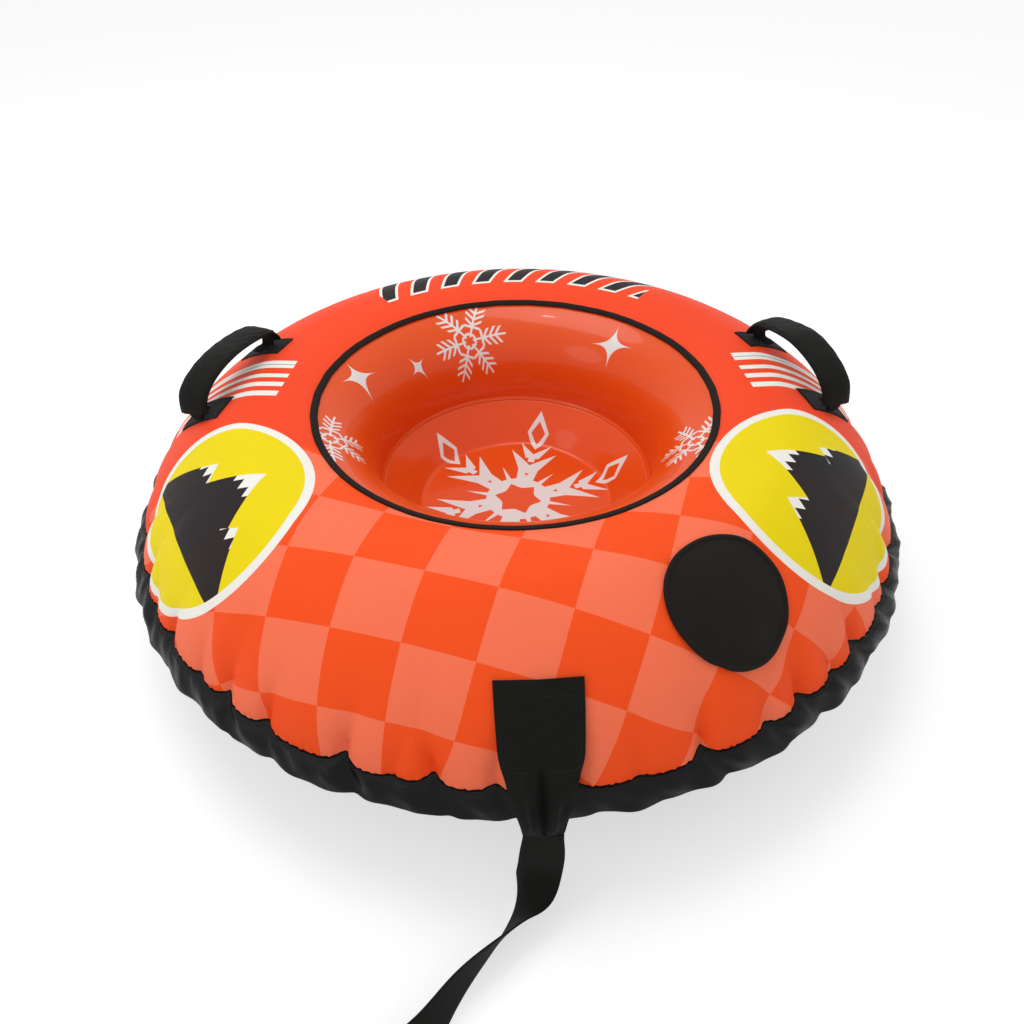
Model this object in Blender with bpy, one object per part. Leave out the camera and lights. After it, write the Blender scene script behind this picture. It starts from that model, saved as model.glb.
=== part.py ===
"""Snow tube: an inflated ring in a gathered cloth cover, with a seat, two handles and a tow strap.

Metres, +Z up, origin on the ring's axis on the ground. The tow strap leaves the front, towards -Y.
"""

import math

import bmesh
import bpy
import numpy as np
from mathutils import Matrix, Vector

# Section of the tube, as radius from the axis and height above the ground
CROWN_RADIUS = 0.335
TUBE_HEIGHT = 0.285
RIM_RADIUS = 0.481
RIM_HEIGHT = 0.150
OPENING_RADIUS = 0.250
SEAT_RADIUS = 0.183
SEAT_SLOPE_WIDTH = 0.050
SEAT_FLOOR_HEIGHT = 0.101
BASE_FLAT_RADIUS = 0.330
CHAMBER_SLACK = 0.028
WELD_WIDTH = 0.008

# Cloth, film and the gap left between pieces that touch
COVER_CLOTH = 0.0008
BASE_CLOTH = 0.0012
CHAMBER_FILM = 0.0009
GAP = 0.0003

# Roundness of the section, as powers of sine and cosine and of the inner wall's curve
SHOULDER_SHARE = 1.4
DOME_SHARE = 1.1
INNER_WALL_SHARE = 2.6

# Gathers round the rim: how far they stand out and dip, and how far up and down the cloth they reach
GATHERS = 26
GATHER_REACH = 0.0055
GATHER_DIP = 0.0045
GATHER_FADE_UP = 0.090
GATHER_FADE_DOWN = 0.060
GATHER_DRIFT_SHARES = ((5, 0.15, 0.4), (9, 0.10, 2.0))
GATHER_DEPTH_SHARES = ((4, 0.18, 1.1), (7, 0.14, 0.3))

# Binding tape round the opening
BINDING_TAPE = 0.0007
BINDING_WIDTH = 0.0125

# Folded tape that hangs from the rim seam
BAND_DROP = 0.030
BAND_SPREAD = 0.018
BAND_THICKNESS = 0.0034
BAND_FLARE_SHARE = 1.20

# Valve, cover flap and their place on the tube
VALVE_PLACE_SHARE = 0.4726
VALVE_ANGLE = math.radians(-58.9)
FLAP_RADIUS = 0.069
FLAP_CLOTH = 0.0015
FLAP_DOME = 0.0050
FLAP_ROLL = 0.0019
FLAP_REST = 0.0004
COVER_HOLE_RADIUS = 0.034
VALVE_FLANGE_RADIUS = 0.024
VALVE_FLANGE = 0.0010
NECK_RADIUS = 0.012
NECK_BORE = 0.009
NECK_DEPTH = 0.023
CAP_HEAD_RADIUS = 0.013
CAP_HEAD = 0.0021
CAP_STEM = 0.008
CAP_RIB_HEIGHT = 0.0016
CAP_RIB_WIDTH = 0.0030
DIAPHRAGM = 0.0008
DIAPHRAGM_RADIUS = 0.0080
DIAPHRAGM_STEM = 0.0014
DIAPHRAGM_HEAD = 0.0024
WEB_THICKNESS = 0.0020
WEB_HOLE_RADIUS = 0.0017
WEB_HOLES = 4
HINGE_TAPE_LENGTH = 0.014
HINGE_TAPE_WIDTH = 0.034
TAPE_CLOTH = 0.0009
PAD_LENGTH = 0.013
PAD_WIDTH = 0.030
PAD_CLOTH = 0.0008

# Handles: their ends on the cover, the fold line, the webbing and the padded sleeve
FRONT_END_SHARE = 0.4315
FRONT_END_ANGLE = math.radians(-3.7)
REAR_END_SHARE = 0.1952
REAR_END_ANGLE = math.radians(21.8)
FOLD_HEIGHT = 0.0112
WEBBING_END_RADIUS = 0.009
WEBBING_WIDTH = 0.025
WEBBING = 0.0018
SLEEVE_WIDTH = 0.050
SLEEVE_WALL = 0.0026
SLEEVE_START = 0.0105
PATCH_LENGTH = 0.066
PATCH_WIDTH = 0.042
PATCH_CLOTH = 0.0009
PATCH_REACH = 0.011
TAB_FOOT = 0.024
LEFT_RISE = 0.0430
RIGHT_RISE = 0.0490
LEFT_FULLNESS_SHARE = 1.90
RIGHT_FULLNESS_SHARE = 1.65
LEFT_LEAN = math.radians(3.0)
RIGHT_LEAN = math.radians(-1.5)
SLEEVE_TAPER_SHARES = (0.0, 0.62, 0.90, 1.0)
SLEEVE_CORNER_SHARES = ((1.0, 0.45), (0.93, 1.0), (-0.93, 1.0), (-1.0, 0.45),
                        (-1.0, -0.45), (-0.93, -1.0), (0.93, -1.0), (1.0, -0.45))

# Each handle's side, its middle's height above the fold line, the fullness of its arch and its outward lean
HANDLES = (("left", -1, LEFT_RISE, LEFT_FULLNESS_SHARE, LEFT_LEAN),
           ("right", 1, RIGHT_RISE, RIGHT_FULLNESS_SHARE, RIGHT_LEAN))

# Tow anchor and strap
ANCHOR_PLACE_SHARE = 0.6301
ANCHOR_ANGLE = math.radians(-87.8)
ANCHOR_WIDTH = 0.086
ANCHOR_WEBBING = 0.0016
STRAP_WIDTH = 0.045
STRAP_WEBBING = 0.0024
# How far the anchor's lower end stands out past the band, and its pleats
ANCHOR_STAND_OFF = 0.010
ANCHOR_PLEAT = 0.0035
ANCHOR_ROW_SHARES = (0.0, 0.22, 0.44, 0.64, 0.80)
ANCHOR_WIDTH_SHARES = (1.0, 0.99, 0.97, 0.94, 0.84, 0.70, 0.60, 0.58)
ANCHOR_PLEAT_SHARES = (0.0, 1.0, 0.1, 0.9, 0.0, 0.9, 0.1, 1.0, 0.0)
ANCHOR_LOW_SHARE = 0.6
ANCHOR_TUCK_SHARE = 0.4

# Sewn hand loop on the strap's far end
LOOP_LENGTH = 0.115
LOOP_HEIGHT = 0.022
LOOP_BEND_SHARE = 0.33
LOOP_LENGTH_SHARES = (0.35, 0.75, 0.75, 0.50, 0.33)
LOOP_SAG_SHARE = 0.72

# The strap's route: x, y, height and tilt of its width; a height of None lies on the ground
STRAP_ROUTE = (
    (0.0188, -0.5165, 0.0900, 0),
    (0.0175, -0.5170, 0.0680, 5),
    (0.0155, -0.5180, 0.0500, 14),
    (0.0130, -0.5230, 0.0370, 28),
    (0.0080, -0.5320, 0.0290, 42),
    (0.0000, -0.5440, None, 54),
    (-0.0110, -0.5570, None, 66),
    (-0.0240, -0.5705, None, 76),
    (-0.0370, -0.5830, None, 84),
    (-0.0510, -0.5970, None, 92),
    (-0.0640, -0.6120, None, 100),
    (-0.0760, -0.6290, None, 106),
    (-0.0880, -0.6470, None, 116),
    (-0.1050, -0.6640, None, 130),
    (-0.1280, -0.6790, None, 148),
    (-0.1560, -0.6900, None, 164),
    (-0.1900, -0.6970, None, 176),
    (-0.2300, -0.7000, None, 180),
    (-0.2800, -0.7010, None, 180),
    (-0.3300, -0.7000, None, 180),
    (-0.3700, -0.6985, None, 180),
)

# Rows of the mesh: places along the section, as shares of each curve's turn
WALL_ROW_SHARES = (0.12, 0.30, 0.52)
SHOULDER_ROW_SHARES = (0.155, 0.30, 0.445, 0.58)
GATHERED_ROW_SHARES = (0.71, 0.85, 1.0)
UNDER_ROW_SHARES = (0.28, 0.55)
LAST_UNDER_ROW_SHARE = 0.80
UNDER_WALL_ROW_SHARES = (0.15, 0.38, 0.68)
HIDDEN_ROW_SHARES = (0.62, 0.82)
BAND_ROW_SHARES = (0.0, 0.50, 0.93)
BAND_TOP_SHARE = 0.70
SLACK_START_SHARE = 0.5

# Sides of the round pieces and points along the strap
VALVE_SIDES = 24
DIAPHRAGM_SIDES = 16
AIR_HOLE_SIDES = 10
FLAP_SIDES = 30
STRAP_POINTS = 48

# Radii of places on the shoulder, which are shares of the way from the crown to the rim, and of the seat's flat
VALVE_RADIUS, FRONT_END_RADIUS, REAR_END_RADIUS, ANCHOR_RADIUS = (
    CROWN_RADIUS + (RIM_RADIUS - CROWN_RADIUS) * share
    for share in (VALVE_PLACE_SHARE, FRONT_END_SHARE, REAR_END_SHARE, ANCHOR_PLACE_SHARE))
SEAT_FLAT_RADIUS = SEAT_RADIUS - SEAT_SLOPE_WIDTH

# Radii of the cloth's rows inside the crown: its bound edge, the tape's edge and halfway to the crown
COVER_EDGE_RADII = (OPENING_RADIUS + BINDING_TAPE + GAP, OPENING_RADIUS + BINDING_WIDTH,
                    (OPENING_RADIUS + BINDING_WIDTH + CROWN_RADIUS) / 2)


def clear_scene():
    for old in list(bpy.data.objects):
        bpy.data.objects.remove(old)


def material(name, colour, roughness, metallic=0.0):
    made = bpy.data.materials.new(name)
    made.use_nodes = True
    shader = made.node_tree.nodes["Principled BSDF"]
    shader.inputs["Base Color"].default_value = (*colour, 1.0)
    shader.inputs["Roughness"].default_value = roughness
    shader.inputs["Metallic"].default_value = metallic
    return made


# The section curves. Each takes a share along the curve and gives radius and height.


def wall_point(share):
    """The chamber's wall inside the opening, from the seat weld at 0 to the crown at 1: a superellipse."""
    turn = share * math.pi / 2
    power = 2 / INNER_WALL_SHARE
    crown = TUBE_HEIGHT - COVER_CLOTH - GAP
    radius = CROWN_RADIUS - (CROWN_RADIUS - SEAT_RADIUS) * max(math.cos(turn), 0.0) ** power
    return np.array([radius, RIM_HEIGHT + (crown - RIM_HEIGHT) * math.sin(turn) ** power])


def wall_share(radius):
    """The share along the wall curve at which it has this radius."""
    part = (CROWN_RADIUS - radius) / (CROWN_RADIUS - SEAT_RADIUS)
    return math.acos(part ** (INNER_WALL_SHARE / 2)) / (math.pi / 2)


def shoulder_point(share):
    """The cover's outer face, from the crown at 0 to the rim seam at 1."""
    turn = share * math.pi / 2
    radius = CROWN_RADIUS + (RIM_RADIUS - CROWN_RADIUS) * math.sin(turn) ** SHOULDER_SHARE
    drop = max(math.cos(turn), 0.0) ** DOME_SHARE
    return np.array([radius, RIM_HEIGHT + (TUBE_HEIGHT - RIM_HEIGHT) * drop])


def base_point(share):
    """The base cloth's outer face, from the edge of its flat at 0 to the rim seam at 1."""
    turn = share * math.pi / 2
    radius = BASE_FLAT_RADIUS + (RIM_RADIUS - BASE_FLAT_RADIUS) * math.sin(turn) ** SHOULDER_SHARE
    return np.array([radius, RIM_HEIGHT * (1 - max(math.cos(turn), 0.0) ** DOME_SHARE)])


def under_point(share):
    """The chamber's lower inner wall, from the seat weld at 0 to the base cloth at 1."""
    turn = share * math.pi / 2
    power = 2 / INNER_WALL_SHARE
    radius = BASE_FLAT_RADIUS - (BASE_FLAT_RADIUS - SEAT_RADIUS) * max(math.cos(turn), 0.0) ** power
    bottom = BASE_CLOTH + GAP
    return np.array([radius, RIM_HEIGHT - (RIM_HEIGHT - bottom) * math.sin(turn) ** power])


def normal_at(curve, share):
    """The unit normal of a section curve, to the left of the way along it."""
    step = 1e-4
    along = curve(min(share + step, 1.0)) - curve(max(share - step, 0.0))
    return np.array([-along[1], along[0]]) / np.hypot(*along)


def lifted(curve, share, lift):
    return curve(share) + normal_at(curve, share) * lift


# Gathers: the rim's cloth stands out and dips in waves of uneven width and depth.


def gather_angles():
    """Four angles for each gather, drawn apart and together so that no two gathers are alike."""
    even = np.arange(4 * GATHERS) * 2 * math.pi / (4 * GATHERS)
    drift = sum(share / waves * np.sin(waves * even + phase) for waves, share, phase in GATHER_DRIFT_SHARES)
    return even + drift


ANGLES = gather_angles()


def ring(place, wave=0.0, step=1):
    """Points round the axis at a (radius, height). A wave of 1 gives them the rim's full gathers."""
    angles = ANGLES[::step]
    beat = np.sin(np.arange(len(ANGLES)) * math.pi / 2)[::step]
    depth = 1 + sum(share * np.sin(waves * angles + phase) for waves, share, phase in GATHER_DEPTH_SHARES)
    radius = place[0] + GATHER_REACH * wave * beat * depth
    height = place[1] - GATHER_DIP * wave * beat * depth
    return np.stack([radius * np.cos(angles), radius * np.sin(angles), height + 0 * angles], -1)


def fade(place, reach):
    """How much of the rim's gathers a place on the cloth has: all at the seam, none past the reach."""
    away = math.hypot(place[0] - RIM_RADIUS, place[1] - RIM_HEIGHT)
    return max(0.0, 1 - away / reach) ** 2


# Closed bodies, from rings of points or from two grids.


def add_object(name, points, faces, look):
    mesh = bpy.data.meshes.new(name)
    mesh.from_pydata([tuple(map(float, point)) for point in points], [], faces)
    work = bmesh.new()
    work.from_mesh(mesh)
    bmesh.ops.recalc_face_normals(work, faces=work.faces[:])
    work.to_mesh(mesh)
    work.free()
    mesh.shade_smooth()
    mesh.set_sharp_from_angle(angle=math.radians(35))
    mesh.materials.append(look)
    made = bpy.data.objects.new(name, mesh)
    bpy.context.scene.collection.objects.link(made)
    return made


def bridge(first, second, start_first, start_second, turned):
    """The faces between two rings: equal in number, one twice the other, or a ring and a point."""
    n, m = len(first), len(second)
    faces = []
    for j in range(max(n, m) if min(n, m) == 1 else min(n, m)):
        k = (j + 1) % max(min(n, m), 1)
        if m == 1:
            faces.append((start_first + j, start_first + (j + 1) % n, start_second))
        elif n == 1:
            faces.append((start_first, start_second + (j + 1) % m, start_second + j))
        elif n == m and turned:
            faces += [(start_first + j, start_first + k, start_second + j),
                      (start_first + k, start_second + k, start_second + j)]
        elif n == m:
            faces += [(start_first + j, start_first + k, start_second + k),
                      (start_first + j, start_second + k, start_second + j)]
        elif m == 2 * n:
            faces += [(start_first + j, start_second + 2 * j + 1, start_second + 2 * j),
                      (start_first + j, start_first + k, start_second + 2 * j + 1),
                      (start_first + k, start_second + 2 * k, start_second + 2 * j + 1)]
        else:
            faces += [(start_second + j, start_first + 2 * j, start_first + 2 * j + 1),
                      (start_second + j, start_first + 2 * j + 1, start_second + k),
                      (start_second + k, start_first + 2 * j + 1, start_first + 2 * k)]
    return faces


def ring_body(name, outside, inside, look, closed=True):
    """A body whose skin runs over the outside rings and back over the inside ones.

    Not closed means that both lists begin with a single point on the axis, a disc's middle.
    """
    rings = list(outside) + list(inside)[::-1]
    starts = np.cumsum([0] + [len(one) for one in rings])
    faces = []
    for i in range(len(rings) - 1):
        faces += bridge(rings[i], rings[i + 1], starts[i], starts[i + 1], i >= len(outside))
    if closed:
        faces += bridge(rings[-1], rings[0], starts[-2], starts[0], False)
    faces = [tuple(int(corner) for corner in face) for face in faces]
    return add_object(name, np.concatenate(rings), faces, look)


def capped_body(name, rings, look):
    """A body along a path of equal rings, with a flat cap on each end."""
    count = len(rings[0])
    faces = []
    for i in range(len(rings) - 1):
        faces += bridge(rings[i], rings[i + 1], i * count, (i + 1) * count, False)
    last = (len(rings) - 1) * count
    faces += [tuple(range(count)), tuple(last + j for j in range(count))[::-1]]
    return add_object(name, np.concatenate(rings), faces, look)


def slab(name, top, bottom, look):
    """A sheet between two grids of points, each of rows by columns."""
    rows, columns = top.shape[:2]
    count = rows * columns
    faces = []
    for i in range(rows - 1):
        for j in range(columns - 1):
            a = i * columns + j
            b = a + columns
            faces += [(a, a + 1, b + 1), (a, b + 1, b)]
            faces += [(count + a, count + b + 1, count + a + 1), (count + a, count + b, count + b + 1)]
    edge = [j for j in range(columns)]
    edge += [i * columns + columns - 1 for i in range(1, rows)]
    edge += [(rows - 1) * columns + j for j in range(columns - 2, -1, -1)]
    edge += [i * columns for i in range(rows - 2, 0, -1)]
    for here, after in zip(edge, edge[1:] + edge[:1]):
        faces.append((here, count + here, count + after, after))
    points = np.concatenate([top.reshape(-1, 3), bottom.reshape(-1, 3)])
    return add_object(name, points, faces, look)


def empty_at(name, place, axis):
    """An empty on a joint's axis, with its own Z along the axis."""
    made = bpy.data.objects.new(name, None)
    bpy.context.scene.collection.objects.link(made)
    turned = Vector(axis).to_track_quat("Z", "Y").to_matrix().to_4x4()
    made.matrix_basis = Matrix.Translation(Vector(place)) @ turned
    return made


def cut(target, cutter):
    cutter.hide_render = True
    cutter.display_type = "WIRE"
    hole = target.modifiers.new("hole", "BOOLEAN")
    hole.operation = "DIFFERENCE"
    hole.object = cutter


# The chamber: two film panels welded to each other at the rim and, with the seat floor, at the seat.


def slack(share):
    """How far inside the cover the chamber's wall stands, near the rim where the cloth is gathered."""
    part = max(share - SLACK_START_SHARE, 0.0) / (1 - SLACK_START_SHARE)
    return CHAMBER_SLACK * math.sin(part * math.pi / 2)


def chamber_shoulder(share, depth=0.0):
    place = lifted(shoulder_point, share, -(COVER_CLOTH + GAP + depth))
    return place - np.array([slack(share), 0.0])


def chamber_base(share, depth=0.0):
    place = lifted(base_point, share, BASE_CLOTH + GAP + depth)
    return place - np.array([slack(share), 0.0])


def build_chamber(film):
    weld_in = SEAT_RADIUS - WELD_WIDTH
    rim = RIM_RADIUS - CHAMBER_SLACK - COVER_CLOTH - GAP
    weld_out = rim + WELD_WIDTH
    half = GAP / 2
    walls = WALL_ROW_SHARES + tuple(wall_share(radius) for radius in COVER_EDGE_RADII)
    seam = RIM_HEIGHT + 2 * GAP
    outside = [(weld_in, seam + CHAMBER_FILM), (SEAT_RADIUS, seam + CHAMBER_FILM)]
    inside = [(weld_in, seam), (SEAT_RADIUS + CHAMBER_FILM, seam)]
    outside += [wall_point(share) for share in walls]
    inside += [lifted(wall_point, share, -CHAMBER_FILM) for share in walls]
    shoulders = (0.0,) + SHOULDER_ROW_SHARES[:-1] + HIDDEN_ROW_SHARES
    outside += [chamber_shoulder(share) for share in shoulders]
    inside += [chamber_shoulder(share, CHAMBER_FILM) for share in shoulders]
    outside += [(rim, RIM_HEIGHT + half + CHAMBER_FILM), (weld_out, RIM_HEIGHT + half + CHAMBER_FILM)]
    inside += [(rim - CHAMBER_FILM, RIM_HEIGHT + half), (weld_out, RIM_HEIGHT + half)]
    steps = [2] * (len(outside) - 4) + [4] * 4
    top = ring_body("chamber_top_panel", [ring(p, step=s) for p, s in zip(outside, steps)],
                    [ring(p, step=s) for p, s in zip(inside, steps)], film)

    seam = RIM_HEIGHT - 3 * GAP
    outside = [(weld_in, seam - CHAMBER_FILM), (SEAT_RADIUS, seam - CHAMBER_FILM)]
    inside = [(weld_in, seam), (SEAT_RADIUS + CHAMBER_FILM, seam)]
    outside += [under_point(share) for share in UNDER_WALL_ROW_SHARES]
    inside += [lifted(under_point, share, CHAMBER_FILM) for share in UNDER_WALL_ROW_SHARES]
    outer = (0.0,) + UNDER_ROW_SHARES + (LAST_UNDER_ROW_SHARE,)
    outside += [chamber_base(share) for share in outer]
    inside += [chamber_base(share, CHAMBER_FILM) for share in outer]
    outside += [(rim, RIM_HEIGHT - half - CHAMBER_FILM), (weld_out, RIM_HEIGHT - half - CHAMBER_FILM)]
    inside += [(rim - CHAMBER_FILM, RIM_HEIGHT - half), (weld_out, RIM_HEIGHT - half)]
    ring_body("chamber_bottom_panel", [ring(p, step=4) for p in outside],
              [ring(p, step=4) for p in inside], film)
    return top


def build_seat_floor(film):
    """The seat: a dished disc of film, its edge held between the two panels' welds."""
    edge = SEAT_RADIUS - GAP
    lip = SEAT_RADIUS - WELD_WIDTH - CHAMBER_FILM
    top = [(lip, RIM_HEIGHT + GAP), (SEAT_FLAT_RADIUS, SEAT_FLOOR_HEIGHT)]
    over = [np.array([[0.0, 0.0, SEAT_FLOOR_HEIGHT]]), ring(top[1], step=4), ring(top[0], step=4),
            ring((edge, RIM_HEIGHT + GAP), step=4)]
    thin = CHAMBER_FILM - GAP
    slope = math.atan2(top[0][1] - SEAT_FLOOR_HEIGHT, lip - SEAT_FLAT_RADIUS)
    mitre = thin * math.tan(slope / 2)
    under = [np.array([[0.0, 0.0, SEAT_FLOOR_HEIGHT - thin]]),
             ring((SEAT_FLAT_RADIUS + mitre, SEAT_FLOOR_HEIGHT - thin), step=4),
             ring((lip + thin, RIM_HEIGHT - 2 * GAP), step=4), ring((edge, RIM_HEIGHT - 2 * GAP), step=4)]
    ring_body("seat_floor", over, under, film, closed=False)


# The cover: a printed top cloth, a tape that binds its opening, a slick base cloth and a folded rim tape.


def cover_lift(radius):
    """How far the cloth's outer face lies above the chamber inside the crown: over the tape, then close."""
    over_tape = 2 * GAP + BINDING_TAPE + COVER_CLOTH
    part = (radius - OPENING_RADIUS - BINDING_WIDTH) / (CROWN_RADIUS - OPENING_RADIUS - BINDING_WIDTH)
    return over_tape + (GAP + COVER_CLOTH - over_tape) * min(max(part, 0.0), 1.0)


def build_cover(cloth):
    outside, inside = [], []
    for radius in COVER_EDGE_RADII:
        share = wall_share(radius)
        outside.append(ring(lifted(wall_point, share, cover_lift(radius)), step=2))
        inside.append(ring(lifted(wall_point, share, cover_lift(radius) - COVER_CLOTH), step=2))
    for share in (0.0,) + SHOULDER_ROW_SHARES:
        outside.append(ring(shoulder_point(share), step=2))
        inside.append(ring(lifted(shoulder_point, share, -COVER_CLOTH), step=2))
    seam = np.array([0.0, GAP / 2])
    for share in GATHERED_ROW_SHARES:
        place = shoulder_point(share)
        wave = fade(place, GATHER_FADE_UP)
        up = seam if share == GATHERED_ROW_SHARES[-1] else np.zeros(2)
        outside.append(ring(place + up, wave))
        inside.append(ring(lifted(shoulder_point, share, -COVER_CLOTH) + up, wave))
    return ring_body("cover_top", outside, inside, cloth)


def build_binding(tape):
    """A tape folded over the cover's edge: a U in section, open away from the opening."""
    floor = GAP
    channel = (floor + BINDING_TAPE, floor + BINDING_TAPE + 2 * GAP + COVER_CLOTH)
    roof = channel[1] + BINDING_TAPE
    round_off = BINDING_TAPE / 2
    inner = BINDING_TAPE
    section = ((BINDING_WIDTH, roof), (round_off, roof), (0.0, roof - round_off), (0.0, floor + round_off),
               (round_off, floor), (BINDING_WIDTH, floor), (BINDING_WIDTH, channel[0]), (inner, channel[0]),
               (inner, channel[1]), (BINDING_WIDTH, channel[1]))
    rings = []
    for along, lift in section:
        share = wall_share(OPENING_RADIUS + along)
        rings.append(ring(lifted(wall_point, share, lift), step=2))
    ring_body("opening_binding", rings[:5], rings[:4:-1], tape)


def build_base(cloth):
    """The slick base cloth: flat where it slides, and drawn up the sides to the rim seam."""
    under = [np.array([[0.0, 0.0, 0.0]]), ring((BASE_FLAT_RADIUS, 0.0), step=2)]
    over = [np.array([[0.0, 0.0, BASE_CLOTH]]), ring(lifted(base_point, 0.0, BASE_CLOTH), step=2)]
    for share in UNDER_ROW_SHARES:
        under.append(ring(base_point(share), step=2))
        over.append(ring(lifted(base_point, share, BASE_CLOTH), step=2))
    for share in (LAST_UNDER_ROW_SHARE, 1.0):
        place = base_point(share)
        wave = fade(place, GATHER_FADE_DOWN)
        down = np.array([0.0, -GAP / 2 if share == 1.0 else 0.0])
        under.append(ring(place + down, wave))
        over.append(ring(lifted(base_point, share, BASE_CLOTH) + down, wave))
    ring_body("slide_base", under, over, cloth, closed=False)


def band_point(drop_share, out):
    """A place on the rim band: a share of its way down, and a distance out from its inner face."""
    radius = RIM_RADIUS + GAP + BAND_SPREAD * drop_share
    height = RIM_HEIGHT - GAP / 2 - BAND_DROP * drop_share
    slope = np.array([BAND_DROP, BAND_SPREAD]) / math.hypot(BAND_DROP, BAND_SPREAD)
    return np.array([radius, height]) + slope * out


def build_rim_band(tape):
    """The tape sewn over the rim seam, folded at its lower edge, which ruffles more than the seam does."""
    top, middle, low = BAND_ROW_SHARES
    section = ((top, BAND_THICKNESS * BAND_TOP_SHARE), (middle, BAND_THICKNESS), (low, BAND_THICKNESS),
               (1.0, BAND_THICKNESS / 2), (low, 0.0), (top, 0.0))
    rings = []
    for share, out in section:
        rings.append(ring(band_point(share, out), 1 + (BAND_FLARE_SHARE - 1) * share))
    ring_body("rim_band", rings[:3], rings[:2:-1], tape)


# Places on the cover, for what is sewn or laid on it.


def cover_table():
    """Radius, height and length along the section of the cover's outer face, from the crown to the rim."""
    shares = np.linspace(0.0, 1.0, 400)
    places = np.array([shoulder_point(share) for share in shares])
    length = np.concatenate([[0.0], np.cumsum(np.hypot(*np.diff(places, axis=0).T))])
    return shares, places, length


COVER_SHARES, COVER_PLACES, COVER_LENGTHS = cover_table()


def length_at(radius):
    return float(np.interp(radius, COVER_PLACES[:, 0], COVER_LENGTHS))


def on_cover(length, angle, across, lift):
    """A point that far down the section from the crown, aside from an angle, and above the cloth.

    Past the rim's seam the section goes straight down, so that what is sewn there keeps its length.
    """
    share = float(np.interp(length, COVER_LENGTHS, COVER_SHARES))
    if length < 0:
        share = 0.0
    radius, height = lifted(shoulder_point, share, lift)
    height -= max(length - COVER_LENGTHS[-1], 0.0)
    if length < 0:
        back = wall_share(CROWN_RADIUS + length)
        radius, height = lifted(wall_point, back, lift + COVER_CLOTH + GAP)
    turn = angle + across / radius
    return np.array([radius * math.cos(turn), radius * math.sin(turn), height])


def frame_on_cover(radius, angle):
    """A place on the cover's outer face, its outward normal, the way downhill and the way across."""
    length = length_at(radius)
    step = GAP
    place = on_cover(length, angle, 0.0, 0.0)
    downhill = on_cover(length + step, angle, 0.0, 0.0) - on_cover(length - step, angle, 0.0, 0.0)
    downhill /= np.linalg.norm(downhill)
    across = np.array([-math.sin(angle), math.cos(angle), 0.0])
    return place, np.cross(downhill, across), downhill, across


def polar_on_cover(radius, angle, distance, lift, count):
    """A ring on the cloth round a place on it, or a single point where the distance is nothing."""
    length = length_at(radius)
    if distance == 0:
        return np.array([on_cover(length, angle, 0.0, lift)])
    turns = np.arange(count) * 2 * math.pi / count
    spots = [(distance * math.cos(turn), distance * math.sin(turn)) for turn in turns]
    return np.array([on_cover(length + down, angle, across, lift) for down, across in spots])


def axis_matrix(place, normal, downhill):
    """Local X downhill, local Z along the normal."""
    across = np.cross(normal, downhill)
    rows = np.stack([downhill, across, normal], 1)
    made = np.eye(4)
    made[:3, :3] = rows
    made[:3, 3] = place
    return made


def placed(matrix, points):
    points = np.asarray(points, float).reshape(-1, 3)
    return points @ matrix[:3, :3].T + matrix[:3, 3]


def circle(radius, height, count):
    if radius == 0:
        return np.array([[0.0, 0.0, height]])
    turns = np.arange(count) * 2 * math.pi / count
    return np.stack([radius * np.cos(turns), radius * np.sin(turns), height + 0 * turns], -1)


def turned_disc(name, matrix, over, under, count, look):
    """A solid turned about a place's normal, from (radius, height) pairs above and below."""
    rings = []
    for half in (over, under):
        rings.append([placed(matrix, circle(radius, height, count)) for radius, height in half])
    return ring_body(name, rings[0], rings[1], look, closed=False)


# Valve: a flanged neck welded into the chamber, a diaphragm, a cap, and the flap that covers them.


def flap_lift(distance):
    """How high the middle of the flap's cloth lies: domed over the cap, flat at its rolled border."""
    inner = FLAP_RADIUS - 2 * FLAP_ROLL
    return FLAP_REST + FLAP_ROLL + FLAP_DOME * max(0.0, 1 - (distance / inner) ** 2)


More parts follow.
